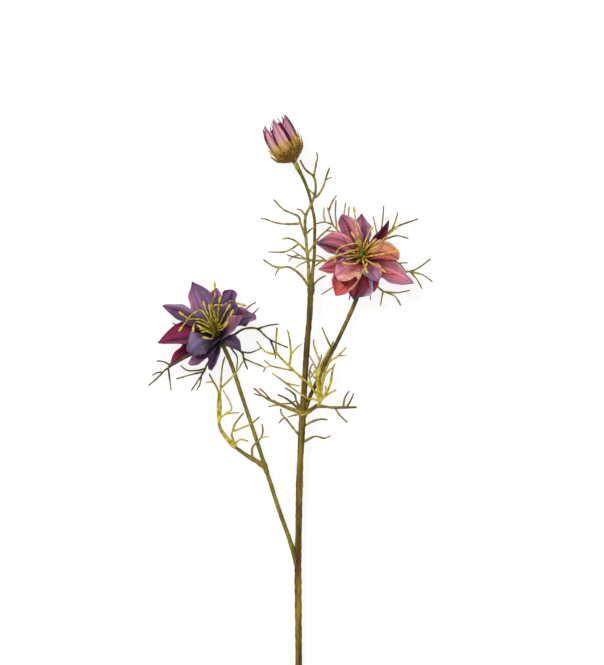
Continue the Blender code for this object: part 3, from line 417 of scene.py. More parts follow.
def tape_marks(paths):
    """The lips of the tape raise each path's thickness; the stains and the cut are marks."""
    marks = {"stain": [], "young": [], "cut": []}
    for path, youth in zip(paths, STEM_YOUTH):
        foot = path[0].to_3d()
        for point in path:
            point.w *= STEM_SHARE
            for lip in TAPE_LIPS:
                if lip <= point.y < lip + LIP_LENGTH:
                    point.w += LIP_HEIGHT * (1.0 - (point.y - lip) / LIP_LENGTH)
            stain = sum(s * math.exp(-((point.y - y) / reach) ** 2) for y, reach, s in STAINS)
            marks["stain"].append(min(1.0, stain))
            risen = (point.y - YOUNG_TOP) / YOUNG_FADE
            marks["young"].append(youth + min(1.0, max(0.0, risen)))
            cut = (point.to_3d() - foot).length < CUT_LENGTH and point.y < CUT_BELOW
            marks["cut"].append(1.0 if cut else 0.0)
    return marks


MOTTLE = mottle_group()
SKIN = skin_tree()
main_points = [Vector((x, y, FOOT_HEIGHT + STEM_SLOPE * y, r)) for x, y, r in MAIN_STEM]
main_points.append(fat(BUD_BASE - BUD_AXIS * BUD_FOOT_DEPTH, BUD_FOOT_RADIUS))
stem_paths = [
    smooth(main_points, STEM_STEP),
    branch_route(SIDE_STEM, VIOLET_CENTRE, VIOLET_AXIS),
    branch_route(STALK, PINK_CENTRE, PINK_AXIS),
]
tape = layered("olive_tape", paint("927A22"), [
    (paint("4A4212"), ("Blotch",)),
    (paint("54280E"), ("stain",), ("Blotch", 0.8, 0.35)),
    (paint("949A32"), ("young",)),
    (paint("4A4212", 0.4), ("Speck", 0.6, -0.1)),
    # Painted shade along the tape's outline.
    (paint("4A4212", 0.25), slant_shade(1.2)),
    (paint("B9A56A"), ("cut",)),
], (260.0, 900.0), 0.0004, (0.2, 0.42), stretch=(1.0, 0.09, 1.0))
stem = skinned("stem_tape", stem_paths, tape_marks(stem_paths), STEM_SKIN, tape)
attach(stem, "root")
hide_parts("stem")


# Thread leaves are moulded in soft plastic, yellow-olive where they are young and brown towards
# their dry tips. Five of them grow straight from the stem, one whorl is pushed on it as a
# collar, and the fronds and the ruffs under the blooms are made the same way.
THREAD_SKIN = {"Sides": 8, "Roughen": 0.35, "Bumps a Metre": 260.0, "Wander": 0.00028}
THREAD_STEP = 1.4
THREAD_SHARE = 1.31
THREAD_ROOT_SHARE = 0.55
TIP_SHARE = 0.58
TIP_CLOSING = 0.5
COLLAR_STEP = 0.8
COLLAR_SWELL = [(0.0, 0.72), (0.15, 0.86), (0.5, 1.0), (0.85, 0.86), (1.0, 0.72)]
DRY_SEED = 11
DRY_TIPS = (0.3, 1.05)
DRY_COLLAR = 0.85
BROWNED_ROOT = 0.62
BROWNED_CALM = 0.4
LEAST_RUN = 1e-9
# Each thread: its radius, its heights halfway and at the tip, and its places on the drawing.
STEM_THREADS = [
    (0.7, (7.0, 6.0), [(2.0, 199.0), (-3.6, 206.0), (-7.4, 211.0), (-11.7, 216.0), (-12.0, 219.5)]),
    (0.55, (5.5, 5.0), [(-9.5, 212.8), (-11.5, 211.5), (-13.6, 208.7)]),
    (0.7, (8.0, 6.5), [(3.0, 206.0), (9.2, 210.0), (15.7, 212.0), (21.0, 211.5)]),
    (0.7, (11.0, 12.5), [(2.5, 195.0), (9.2, 199.0), (13.0, 200.0), (18.8, 198.7), (23.0, 200.8)]),
    (0.6, (10.0, 11.5), [(24.5, 260.5), (21.5, 265.5), (16.7, 276.5)]),
]
# Each collar: its two ends and its radius.
WHORL_COLLAR = ((3.2, 213.5, 9.6), (4.0, 219.0, 9.8), 3.096)
WHORL = [
    (0.95, (12.5, 13.0), [(5.0, 216.5), (10.9, 219.3), (15.0, 221.0), (25.8, 220.2),
        (41.3, 220.5)]),
    (0.6, (14.0, 15.0), [(31.7, 220.3), (32.8, 227.0), (36.0, 232.2)]),
    (0.6, (11.5, 10.0), [(34.0, 220.3), (37.0, 225.5), (39.2, 230.5)]),
    (0.6, (10.0, 8.0), [(25.9, 220.2), (29.1, 215.0), (35.0, 209.5)]),
    (0.8, (18.0, 23.0), [(13.0, 220.3), (15.2, 224.8), (12.0, 231.0), (7.6, 236.5), (2.2, 241.3),
        (-6.3, 249.3), (-14.4, 257.8), (-15.4, 263.0), (-14.7, 276.5)]),
    (0.65, (21.0, 24.0), [(-6.3, 249.3), (-5.0, 257.0), (-5.8, 267.5), (-7.4, 275.0)]),
    (0.5, (21.0, 21.5), [(-5.0, 257.0), (-1.0, 262.0), (3.1, 265.0)]),
    (0.6, (19.5, 18.5), [(-14.0, 257.2), (-22.9, 259.5), (-29.0, 266.8)]),
    (0.6, (17.5, 16.5), [(-3.1, 246.1), (-18.1, 249.3), (-23.8, 253.5)]),
    (0.5, (17.0, 16.0), [(-18.1, 249.3), (-22.0, 248.6), (-24.5, 245.0)]),
    (0.7, (17.0, 19.0), [(15.1, 224.8), (11.0, 226.2), (7.6, 226.2), (2.2, 229.5), (-3.1, 233.2),
        (-12.2, 240.2), (-18.2, 244.5)]),
    (0.5, (17.0, 16.8), [(-8.4, 237.3), (-3.0, 236.2), (1.8, 235.3)]),
    (0.85, (9.0, 8.0), [(3.0, 217.0), (-7.4, 220.4), (-19.2, 225.2), (-24.5, 228.2),
        (-31.2, 234.0)]),
    (0.55, (8.0, 7.0), [(-19.0, 225.2), (-23.5, 230.5), (-27.7, 233.8)]),
    (0.5, (7.0, 6.0), [(-24.5, 228.2), (-28.0, 229.0), (-31.5, 230.0)]),
    (0.75, (5.5, 3.5), [(3.0, 215.5), (-8.5, 219.9), (-13.8, 222.5), (-17.0, 225.8)]),
    (0.5, (4.0, 3.0), [(-13.0, 222.0), (-17.0, 221.6), (-21.0, 220.5)]),
    (0.75, (14.0, 16.0), [(3.0, 217.5), (-3.1, 222.5), (-8.5, 226.8), (-14.7, 229.5)]),
    (0.7, (12.5, 13.0), [(2.5, 217.5), (-1.2, 225.0), (-2.6, 229.5), (-9.2, 234.3)]),
    (0.5, (12.5, 12.5), [(-1.3, 225.0), (-5.8, 223.1), (-11.7, 223.1)]),
    (0.65, (7.0, 5.5), [(2.5, 216.0), (-2.5, 214.8), (-7.4, 213.4)]),
    (0.85, (14.5, 17.0), [(13.5, 220.6), (16.0, 225.2), (20.0, 229.0), (26.9, 232.8)]),
    (0.75, (14.5, 16.0), [(16.5, 226.0), (22.1, 235.3), (23.7, 243.5), (24.8, 248.7),
        (26.1, 251.0)]),
    (0.7, (16.0, 18.0), [(16.0, 225.2), (17.3, 238.8), (21.6, 251.4), (28.0, 256.3),
        (33.9, 262.6)]),
    (0.5, (16.5, 16.0), [(28.0, 256.3), (31.0, 256.6), (34.3, 256.5)]),
    (0.6, (17.5, 20.0), [(16.9, 235.5), (19.4, 243.4), (24.2, 248.4)]),
    (0.7, (14.0, 15.5), [(16.0, 225.2), (14.3, 233.2), (13.0, 238.0), (13.0, 246.0),
        (15.1, 252.5), (13.5, 257.0), (10.9, 264.3), (11.1, 268.3)]),
    (0.5, (15.5, 16.5), [(14.9, 252.3), (16.2, 255.0), (16.5, 257.8)]),
    (0.5, (14.5, 14.5), [(13.2, 246.5), (10.5, 252.0), (7.9, 257.2)]),
    (0.5, (14.5, 15.0), [(13.0, 240.0), (10.0, 243.0), (8.2, 247.2)]),
]
# Threads that only dress the whorl: two that lap round the stem, three that lie along the
# flower stalk and three small ones between them.
WHORL_DRESSING = [
    (1.25, (12.6, 13.4), [(-1.8, 218.9), (2.1, 216.8), (5.6, 217.1), (9.8, 219.6), (13.3, 222.7)]),
    (0.95, (12.9, 12.0), [(-0.9, 216.1), (2.8, 215.2), (7.0, 216.4), (10.5, 218.5)]),
    (0.8, (12.6, 11.0), [(14.0, 226.9), (13.7, 235.3), (14.4, 242.3), (16.1, 249.3),
        (19.6, 256.3), (23.1, 262.6), (24.9, 266.8)]),
    (0.75, (13.2, 12.0), [(15.1, 226.9), (15.4, 236.7), (16.8, 245.1), (19.3, 251.4),
        (22.4, 258.4), (23.8, 262.6)]),
    (0.65, (13.0, 12.4), [(16.1, 226.9), (17.2, 238.1), (18.6, 245.1), (21.7, 252.1),
        (25.2, 259.8)]),
    (0.55, (14.5, 14.0), [(18.9, 229.0), (19.4, 231.8), (19.3, 236.0)]),
    (0.6, (14.0, 13.0), [(13.3, 247.6), (11.2, 244.8), (8.8, 240.9)]),
    (0.6, (15.5, 14.5), [(8.4, 233.2), (7.9, 240.9), (8.4, 247.2), (10.5, 251.1)]),
]
WHORL_BROWNED = (0, 1, 2, 3, 12, 13, 14, 17, 18, 19, 20, len(WHORL), len(WHORL) + 3)
UPPER_COLLAR = ((8.7, 298.5, 12.6), (9.4, 306.5, 12.9), 2.494)
UPPER_FROND = [
    (0.95, (16.0, 19.0), [(8.0, 302.0), (7.5, 311.0), (7.3, 320.0), (6.4, 329.0), (5.6, 338.5),
        (4.9, 349.0), (5.6, 355.0), (8.8, 361.3), (11.1, 367.0), (12.4, 374.0), (11.1, 381.5),
        (5.3, 386.5), (1.2, 393.5)]),
    (0.6, (20.0, 21.0), [(11.1, 381.5), (12.8, 391.4), (13.7, 395.0), (12.8, 399.0)]),
    (0.7, (18.5, 19.0), [(11.0, 366.5), (14.6, 369.3), (18.2, 376.0), (20.0, 382.5),
        (22.2, 388.0)]),
    (0.5, (17.5, 16.5), [(19.2, 379.2), (21.5, 380.5), (24.0, 381.3)]),
    (0.5, (19.0, 20.0), [(11.4, 369.0), (7.0, 373.5), (5.6, 377.5)]),
    (0.7, (17.5, 18.0), [(4.9, 338.5), (1.7, 349.3), (0.0, 354.0), (-8.6, 357.8), (-12.2, 360.6),
        (-17.1, 365.8)]),
    (0.6, (16.0, 14.5), [(1.8, 349.0), (-7.7, 348.5), (-15.8, 349.6), (-22.5, 352.0),
        (-26.3, 352.6)]),
    (0.7, (14.0, 12.5), [(6.2, 329.0), (0.4, 335.0), (-3.2, 337.6), (-7.7, 338.8), (-11.0, 338.0)]),
    (0.6, (12.5, 10.5), [(0.6, 334.8), (-5.0, 331.0), (-10.5, 329.0), (-21.0, 329.2)]),
    (0.5, (18.0, 18.5), [(5.3, 354.0), (2.1, 358.2), (-1.4, 359.0)]),
    (0.55, (18.5, 19.5), [(5.6, 341.5), (8.6, 344.5), (12.5, 347.2)]),
    (0.75, (11.5, 10.0), [(8.4, 302.5), (2.6, 312.0), (-5.5, 318.3), (-13.1, 318.3),
        (-18.4, 319.8), (-24.6, 324.2)]),
    (0.5, (10.5, 10.0), [(-13.1, 318.3), (-15.0, 315.0), (-16.1, 312.0)]),
    (0.6, (11.0, 10.0), [(9.4, 304.0), (14.0, 309.5), (19.6, 312.7)]),
    (0.65, (17.5, 18.5), [(6.6, 327.5), (11.1, 334.0), (14.6, 339.0), (18.2, 342.5),
        (23.5, 347.0)]),
]
SIDE_COLLAR = ((-21.8, 174.5, 6.2), (-23.8, 181.0, 6.2), 2.236)
SIDE_FROND = [
    (1.5, (7.0, 8.0), [(-23.0, 178.5), (-29.0, 182.5), (-36.5, 187.0), (-45.0, 193.3)]),
    (1.35, (8.0, 8.5), [(-43.5, 192.0), (-49.0, 197.5), (-54.0, 204.5), (-55.6, 210.5)]),
    (0.75, (9.5, 10.0), [(-55.3, 209.0), (-56.2, 220.6), (-55.6, 229.3), (-57.0, 234.5),
        (-59.3, 238.2), (-62.4, 244.0)]),
    (0.5, (9.0, 8.5), [(-58.9, 237.8), (-62.5, 238.2), (-65.1, 237.3)]),
    (0.75, (10.0, 11.0), [(-54.6, 208.5), (-54.2, 219.0), (-54.4, 230.0), (-53.6, 242.7),
        (-52.6, 251.0), (-51.0, 256.0)]),
    (0.6, (10.8, 12.0), [(-54.3, 233.5), (-49.5, 238.2), (-43.2, 245.0), (-38.3, 252.8)]),
    (0.55, (11.5, 11.0), [(-54.3, 213.0), (-48.6, 217.1), (-46.4, 219.5), (-48.0, 224.5),
        (-52.5, 232.5)]),
    (0.5, (12.0, 13.0), [(-50.5, 215.7), (-46.0, 216.4), (-41.0, 216.6)]),
    (0.8, (9.5, 10.5), [(-43.5, 192.5), (-46.4, 200.5), (-45.8, 203.6), (-43.8, 209.2),
        (-37.9, 216.8)]),
    (0.6, (10.2, 11.0), [(-45.9, 203.2), (-40.1, 205.6), (-32.9, 208.8), (-26.7, 214.0)]),
    (0.6, (8.5, 9.0), [(-45.0, 193.5), (-42.0, 197.0), (-39.2, 197.8), (-34.4, 196.4)]),
    (0.7, (9.2, 10.5), [(-31.5, 184.0), (-32.2, 191.4), (-28.5, 196.3), (-25.8, 199.0),
        (-24.6, 204.0), (-25.3, 209.0)]),
    (0.55, (10.5, 11.0), [(-26.2, 198.7), (-23.0, 199.8), (-19.8, 199.7)]),
]
SIDE_BROWNED = (0, 11)


def nearest(paths, x, y):
    """The point of the paths that lies closest to a place on the drawing."""
    spot = Vector((x, y))
    best, found = None, None
    for path in paths:
        for a, b in zip(path, path[1:]):
            a, b = a.to_3d(), b.to_3d()
            run = (b - a).to_2d()
            t = (spot - a.to_2d()).dot(run) / max(run.length_squared, LEAST_RUN)
            point = a.lerp(b, min(1.0, max(0.0, t)))
            distance = (point.to_2d() - spot).length
            if best is None or distance < best:
                best, found = distance, point
    return found


def strand_path(paths, radius, heights, outline):
    """A tapering thread: its root lies on an earlier path, and its height is given twice."""
    root = nearest(paths, *outline[0])
    route = [Vector((x, y, 0.0, 0.0)) for x, y in (root.xy, *outline[1:])]
    path = smooth(route, THREAD_STEP)
    lengths = distances(path)
    middle, high = heights
    for point, length in zip(path, lengths):
        t = length / lengths[-1]
        point.z = root.z * (1 - t) * (1 - 2 * t) + middle * 4 * t * (1 - t) + high * t * (2 * t - 1)
        point.w = radius * THREAD_SHARE * (1 + (TIP_SHARE - 1) * t)
    path[0].w *= THREAD_ROOT_SHARE
    path[-1].w = radius * TIP_SHARE * TIP_CLOSING
    return path


def strand_paths(carriers, threads):
    """The threads' paths, each rooted on the carriers or on a thread before it."""
    paths = list(carriers)
    for radius, heights, outline in threads:
        paths.append(strand_path(paths, radius, heights, outline))
    return paths[len(carriers):]


def collar_path(start, end, radius):
    """A short collar round a stem between two points."""
    start, end = Vector(start), Vector(end)
    return smooth([fat(start.lerp(end, t), radius * wide) for t, wide in COLLAR_SWELL], COLLAR_STEP)


def leaf_finish(name, fresh, deep, dry):
    """Young colour at the root, dry colour at the tip, deeper blotches between."""
    return layered(name, paint(fresh), [
        (paint(deep), ("Blotch",)),
        (paint(dry), ("along", 1.5, -0.45)),
        (paint(deep, 0.6), ("Speck", 0.45, -0.1)),
        # Painted shade along each thread's outline.
        (paint(deep, 0.42), slant_shade(1.15)),
    ], (240.0, 1100.0), 0.0002, (0.25, 0.35))


def shares(path, least=0.0, rise=1.0):
    """A value for each point of a path, from the least at the root up by the rise at the tip."""
    return [least + rise * k / (len(path) - 1) for k in range(len(path))]


def leaf_marks(carriers, threads, browned):
    """The carriers are dry all over, the browned threads from their roots, others at the tip."""
    draw = random.Random(DRY_SEED)
    along = [DRY_COLLAR for path in carriers for _ in path]
    for i, path in enumerate(threads):
        dry = draw.uniform(*DRY_TIPS)
        root = BROWNED_ROOT if i in browned else 0.0
        along += shares(path, root, dry - BROWNED_CALM * root)
    return {"along": along}


def leaf_piece(name, carriers, threads, finish, node=None, browned=()):
    """Threads on their carriers, as one piece; it stands for a node if one is named."""
    marks = leaf_marks(carriers, threads, browned)
    piece = skinned(name, [*carriers, *threads], marks, THREAD_SKIN, finish)
    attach(piece, "root")
    if node:
        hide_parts(node)


young_leaf = leaf_finish("young_leaf", "D4C044", "8E7E22", "5E4A26")
brown_leaf = leaf_finish("brown_leaf", "AE9C44", "665C22", "584226")
dark_leaf = leaf_finish("dark_leaf", "86782A", "423A16", "3E2C16")
leaf_piece("stem_threads", [], strand_paths(stem_paths, STEM_THREADS), brown_leaf)
for name, collar, threads, finish, browned in (
    ("leaf_whorl", WHORL_COLLAR, WHORL + WHORL_DRESSING, young_leaf, WHORL_BROWNED),
    ("upper_frond", UPPER_COLLAR, UPPER_FROND, brown_leaf, ()),
    ("side_frond", SIDE_COLLAR, SIDE_FROND, young_leaf, SIDE_BROWNED),
):
    carriers = [collar_path(*collar)]
    threads = strand_paths(carriers, threads)
    leaf_piece(name + "_threads", carriers, threads, finish, name, browned)


# Under each bloom a ruff of the same threads is held on a small button. They spread flat behind
# the petals and show beyond them; the violet bloom's are darker, and one of the pink bloom's
# crosses the stem.
RUFF_DROP = 9.6
RUFF_RADIUS = 2.6
RUFF_HALF = 1.9
BUTTON_RISES = [-1.0, -0.92, -0.7, -0.35, 0.0, 0.35, 0.7, 0.92, 1.0]
BUTTON_LEAST = 0.1
VIOLET_BRACTS = [
    (0.7, (6.0, 7.0), [(-56.0, 263.5), (-66.0, 260.0), (-76.0, 256.5), (-91.3, 247.8),
        (-98.0, 241.5), (-105.0, 235.3)]),
    (0.55, (5.5, 5.0), [(-91.0, 248.0), (-90.0, 240.0), (-88.9, 231.8)]),
    (0.55, (7.0, 7.5), [(-89.0, 249.5), (-94.0, 252.2), (-99.4, 252.8)]),
    (0.5, (6.0, 6.0), [(-94.5, 245.0), (-99.0, 244.5), (-102.6, 242.4)]),
    (0.7, (6.0, 7.5), [(-55.5, 262.5), (-60.0, 256.0), (-64.0, 250.0), (-66.5, 244.4),
        (-74.9, 231.8)]),
    (0.55, (6.0, 5.5), [(-65.3, 247.5), (-70.0, 246.2), (-77.7, 246.2), (-82.6, 250.0)]),
    (0.55, (6.0, 5.5), [(-66.3, 245.0), (-72.8, 243.8), (-85.8, 240.0)]),
    (0.5, (8.0, 8.5), [(-67.8, 242.3), (-68.6, 237.0), (-71.2, 231.8)]),
    (0.6, (4.0, 3.0), [(-53.5, 265.0), (-49.0, 264.0), (-45.5, 259.8), (-42.5, 254.9),
        (-43.2, 246.5)]),
    (0.7, (6.5, 7.5), [(-52.5, 264.5), (-45.0, 262.0), (-39.2, 258.5), (-37.9, 253.5),
        (-35.2, 246.6)]),
    (0.55, (7.5, 8.0), [(-38.2, 254.6), (-31.0, 251.5), (-23.1, 248.3)]),
    (0.55, (7.5, 9.0), [(-40.0, 259.4), (-33.6, 258.6), (-25.2, 262.0)]),
    (0.75, (8.5, 9.5), [(-53.0, 265.5), (-45.0, 271.0), (-37.4, 275.4), (-28.7, 275.4),
        (-23.1, 270.5), (-17.9, 266.8), (-6.7, 262.0)]),
    (0.55, (10.0, 11.0), [(-28.5, 275.3), (-21.0, 277.6), (-13.0, 278.8)]),
    (0.55, (8.5, 8.0), [(-19.5, 267.8), (-17.0, 261.0), (-15.4, 254.2)]),
    (0.55, (6.5, 8.0), [(-53.5, 266.0), (-44.0, 279.0), (-36.0, 289.6), (-29.4, 294.0)]),
    (0.5, (8.5, 9.5), [(-44.5, 278.3), (-34.0, 284.0), (-26.8, 290.4)]),
    (0.5, (4.2, 3.2), [(-56.0, 264.5), (-72.0, 273.0), (-88.5, 279.5)]),
]
PINK_BRACTS = [
    (0.7, (14.6, 19.5), [(42.5, 321.0), (34.0, 322.0), (20.9, 322.8), (11.1, 323.2),
        (-2.4, 325.4), (-7.9, 327.2)]),
    (0.5, (19.0, 20.0), [(6.0, 323.8), (-0.6, 327.8), (-4.3, 330.4)]),
    (0.5, (18.5, 18.0), [(1.0, 326.7), (-3.5, 325.8), (-6.8, 322.4)]),
    (0.5, (16.5, 16.5), [(10.3, 323.2), (4.0, 321.6), (-1.9, 318.0)]),
    (0.5, (15.7, 16.6), [(16.8, 323.0), (13.5, 320.5), (10.2, 317.8)]),
    (0.5, (15.7, 16.8), [(19.5, 322.9), (15.5, 325.8), (12.0, 326.6)]),
    (0.7, (5.5, 6.5), [(42.0, 322.0), (34.5, 332.0), (28.0, 344.2), (24.3, 348.6), (20.7, 360.6)]),
    (0.55, (6.5, 7.5), [(21.6, 357.5), (23.5, 363.5), (27.1, 368.8)]),
    (0.55, (6.0, 6.5), [(27.2, 345.2), (26.2, 357.0), (26.6, 365.7)]),
    (0.5, (6.5, 7.0), [(24.4, 348.3), (18.5, 350.2), (11.9, 348.7)]),
    (0.5, (6.0, 6.0), [(19.3, 350.0), (18.0, 355.0), (18.4, 360.6)]),
    (0.5, (7.0, 8.0), [(29.0, 342.5), (20.5, 344.0), (15.0, 339.8)]),
    (0.55, (4.0, 5.0), [(34.0, 333.0), (32.0, 350.0), (33.4, 364.0)]),
    (0.5, (3.5, 4.5), [(33.0, 342.0), (35.2, 353.0), (35.8, 361.5)]),
    (0.7, (4.5, 7.0), [(46.5, 323.0), (57.5, 334.5), (66.5, 345.5), (84.6, 352.5)]),
    (0.55, (7.0, 9.0), [(66.0, 345.0), (68.5, 351.5), (70.1, 357.6)]),
    (0.55, (7.5, 9.5), [(60.0, 337.5), (69.0, 340.6), (77.7, 338.4)]),
    (0.55, (3.2, 4.5), [(54.0, 331.0), (58.5, 345.0), (60.2, 362.0)]),
    (0.5, (3.0, 2.6), [(56.0, 337.0), (54.6, 346.0), (52.6, 354.5)]),
    (0.7, (8.2, 11.5), [(47.0, 320.0), (63.0, 317.0), (79.5, 315.8), (93.0, 324.3)]),
    (0.55, (10.5, 11.0), [(77.5, 315.8), (87.0, 313.2), (94.5, 308.0)]),
    (0.55, (9.5, 9.0), [(78.5, 315.8), (83.5, 309.5), (87.0, 303.0)]),
    (0.5, (9.0, 11.0), [(62.0, 317.1), (70.0, 321.0), (77.2, 321.6)]),
    (0.7, (9.5, 12.0), [(46.0, 318.5), (54.6, 306.5), (59.5, 301.8), (67.6, 298.2), (72.1, 291.3)]),
    (0.55, (10.0, 9.5), [(59.6, 301.7), (58.6, 296.5), (57.7, 291.2)]),
    (0.55, (12.5, 14.0), [(60.2, 301.4), (69.0, 300.6), (78.3, 302.2)]),
    (0.55, (8.5, 9.5), [(45.0, 318.5), (49.0, 306.0), (51.1, 295.3)]),
    (0.55, (9.0, 9.5), [(43.5, 318.5), (38.5, 306.0), (35.7, 295.3)]),
    (0.55, (9.5, 11.5), [(43.0, 319.0), (31.0, 308.5), (24.5, 304.5), (16.1, 299.2)]),
]


def button_path(centre, axis, radius, half):
    """A rounded button about an axis, as a short path whose thickness swells and closes."""
    found = []
    for rise in BUTTON_RISES:
        wide = max(BUTTON_LEAST, math.sqrt(1.0 - rise * rise))
        found.append(fat(centre + axis * half * rise, radius * wide))
    return found


for name, centre, axis, threads, finish in (
    ("violet_bracts", VIOLET_CENTRE, VIOLET_AXIS, VIOLET_BRACTS, dark_leaf),
    ("pink_bracts", PINK_CENTRE, PINK_AXIS, PINK_BRACTS, brown_leaf),
):
    heart = centre - axis * RUFF_DROP
    ruff = button_path(heart, axis, RUFF_RADIUS, RUFF_HALF)
    leaf_piece(name + "_threads", [ruff], strand_paths([[heart, heart]], threads), finish, name)


# The petals are cut from stiffened cloth, printed in shades that run from a dark heart over
# mauve, magenta or coral to paler edges, with fine veins pressed in and the edges curled by hand.
# The heart's dark is partly print and partly painted shade, the fold lines are painted shade, and
# the paler edges are partly print and partly a painted highlight.
RECEPTACLE_DROP = 4.2
RECEPTACLE_RADIUS = 4.2
RECEPTACLE_HALF = 3.1
ROOT_SHARE = 0.7
CLAW_SHARE = 0.25
BROADEST = 0.57
TIP_LEAST = 0.03
TIP_POWER = 1.15
TIP_BLUNTING = 0.76
PETAL_GRID = (12, 22)
PETAL_THICKNESS = 0.42
PETAL_WIDER = 1.07
ROLL_GAIN = 1.6
RAGGED = 0.2
RAGGED_WAVES = (7.0, 4.0, 2.3)
RUFFLE_WAVES = (9.0, 2.4)
FOLD_POWER = 1.3
FOLD_SINK = 0.45
FOLD_FROM = (0.05, 0.35)
HOOK_POWER = 6
CRIMP_LEAST = 0.25
CRIMP_WAVES = (19.0, 5.0)
CRIMP_FROM = (0.2, 0.6)
CRUMPLE = 0.5
CRUMPLE_A_MM = 0.17
CRUMPLE_SEEDS = (7.3, 3.1, 5.7)
CRUMPLE_FROM = (0.1, 0.4)
EDGE_POWER = 1.5
TIP_DYE = 0.85
TIP_FROM = (0.74, 1.0)
# How dark the painted shade in a petal's fold is, as a share of its heart's dye.
CREASE_SHADE = 0.8
CREASE_HALF = 0.34
CREASE_STRAY = 0.12
CREASE_WAVES = 3.0
STREAK = 0.9
STREAK_WAVES = (4.5, 1.6, 3.7)
# A painted highlight on the petals' outer edges: how strong, and where across and along it starts.
EDGE_HIGHLIGHT = 0.6
EDGE_HIGHLIGHT_ACROSS = (0.84, 1.0)
EDGE_HIGHLIGHT_ALONG = (0.3, 0.6)
BRIGHTEST = 0.95
VEIN_COUNT = 11.0
VEIN_WIDTH = 0.55
VEIN_PRESSED = -0.8
VEIN_SHADE = (0.25, 0.1, 0.2, 1.0)
BLOTCH_SHADE = (0.75, 0.62, 0.78, 1.0)
BLOTCH_SHARE = 0.22
SPECK_SHADE = (0.45, 0.3, 0.42, 1.0)
# How dark the veins and the specks are, and how far the dark hearts, partly print and partly painted
# shade, reach.
BLOOM_CLOTH = (0.4, 0.35)
VIOLET_SPREAD = (0.16, 0.64)
PINK_SPREAD = (0.12, 0.5)
# Each petal: its places halfway and at the tip, its width, how far it rolls in degrees, how deep
# it is cupped and ruffled, and how blunt its tip is.
VIOLET_PETALS = [
    ((-65.6, 290.5, 5.5), (-74.5, 308.5, -0.5), 17.0, 0.0, 0.10, 0.0, 0.1),
    ((-77.0, 283.3, 11.0), (-95.0, 291.2, 8.0), 10.5, -15.0, 0.20, 0.3, 0.45),
    ((-78.0, 269.6, 12.0), (-98.2, 265.2, 9.0), 22.0, 5.0, 0.12, 0.3, 0.1),
    ((-74.5, 260.5, 12.5), (-91.3, 248.7, 8.0), 13.0, 0.0, 0.20, 0.3, 0.0),
    ((-70.0, 269.6, 26.0), (-78.0, 260.2, 17.0), 23.0, 0.0, -0.22, 0.0, 0.9),
    ((-64.5, 257.8, 19.0), (-76.0, 250.5, 13.5), 13.5, 0.0, 0.12, 0.3, 0.6),
    ((-56.8, 257.5, 17.0), (-61.2, 246.6, 11.5), 14.0, 20.0, 0.15, 0.4, 0.7),
    ((-46.5, 268.0, 20.0), (-38.7, 259.3, 16.0), 9.5, 0.0, -0.10, 0.3, 0.3),
    ((-46.5, 275.0, 21.0), (-38.6, 284.5, 27.0), 13.0, 10.0, 0.22, 0.0, 0.6),
    ((-42.5, 280.0, 15.0), (-29.0, 283.0, 16.0), 16.5, 0.0, 0.10, 1.2, 0.9),
    ((-50.0, 287.0, 11.0), (-45.8, 302.8, 11.0), 18.5, 0.0, 0.10, 1.3, 0.9),
    ((-57.5, 287.0, 5.5), (-57.2, 304.2, 1.8), 15.5, 0.0, 0.10, 0.3, 0.5),
    ((-51.0, 281.5, 15.5), (-46.5, 293.5, 17.5), 11.5, 0.0, 0.22, 0.3, 0.5),
    ((-58.8, 266.3, 19.5), (-61.5, 262.0, 21.5), 8.0, 0.0, 0.20, 0.0, 0.5),
]
PINK_PETALS = [
    ((36.6, 341.5, 10.5), (30.5, 355.4, 6.5), 13.5, 0.0, 0.30, 0.3, 0.5),
    ((44.5, 341.5, 6.5), (44.5, 356.3, -0.5), 13.0, 0.0, 0.05, 0.2, 0.1),
    ((55.5, 338.0, 14.0), (64.0, 351.4, 14.5), 8.5, 50.0, 0.20, 0.2, 0.0),
    ((58.0, 328.0, 20.0), (70.5, 323.8, 21.5), 13.5, 0.0, 0.32, 0.2, 0.8),
    ((63.0, 314.6, 19.0), (80.5, 307.0, 14.5), 14.5, 0.0, 0.12, 0.5, 0.2),
    ((60.5, 319.6, 15.5), (75.8, 314.2, 13.5), 12.0, 0.0, 0.15, 0.3, 0.4),
    ((51.0, 316.5, 22.5), (56.8, 309.0, 25.0), 12.5, 0.0, 0.10, 0.4, 0.6),
    ((50.0, 311.5, 17.5), (53.3, 301.3, 15.0), 10.5, 0.0, 0.20, 0.4, 0.4),
    ((43.0, 308.6, 14.0), (39.0, 296.0, 11.0), 20.5, 0.0, 0.15, 0.4, 0.1),
    ((35.5, 311.0, 17.0), (26.4, 298.5, 14.5), 17.5, 0.0, 0.30, 0.3, 0.3),
    ((35.6, 317.0, 24.0), (26.0, 312.2, 25.0), 16.5, 0.0, 0.05, 1.1, 0.8),
    ((28.7, 318.6, 16.0), (14.2, 316.8, 15.0), 12.5, 0.0, 0.25, 0.3, 0.3),
    ((28.5, 330.6, 14.5), (12.8, 335.0, 12.5), 16.5, 0.0, 0.35, 0.3, 0.4),
]
DYES = {
    "ink": "140C16", "night": "281C32", "slate": "484056", "dusk": "5E4A6A", "plum": "6E4468",
    "mauve": "8A6888", "lilac": "9A86A2", "lavender": "9088A8", "orchid": "A26888",
    "magenta": "7C2048", "wine": "560C2C", "maroon": "781C32", "crimson": "A0242E",
    "rose": "C25C60", "coral": "D4645E", "salmon": "E28C70", "peach": "EAB088", "blush": "CE9496",
    "tan": "CCA468", "heather": "6E5C7A", "petunia": "CC7A84",
}
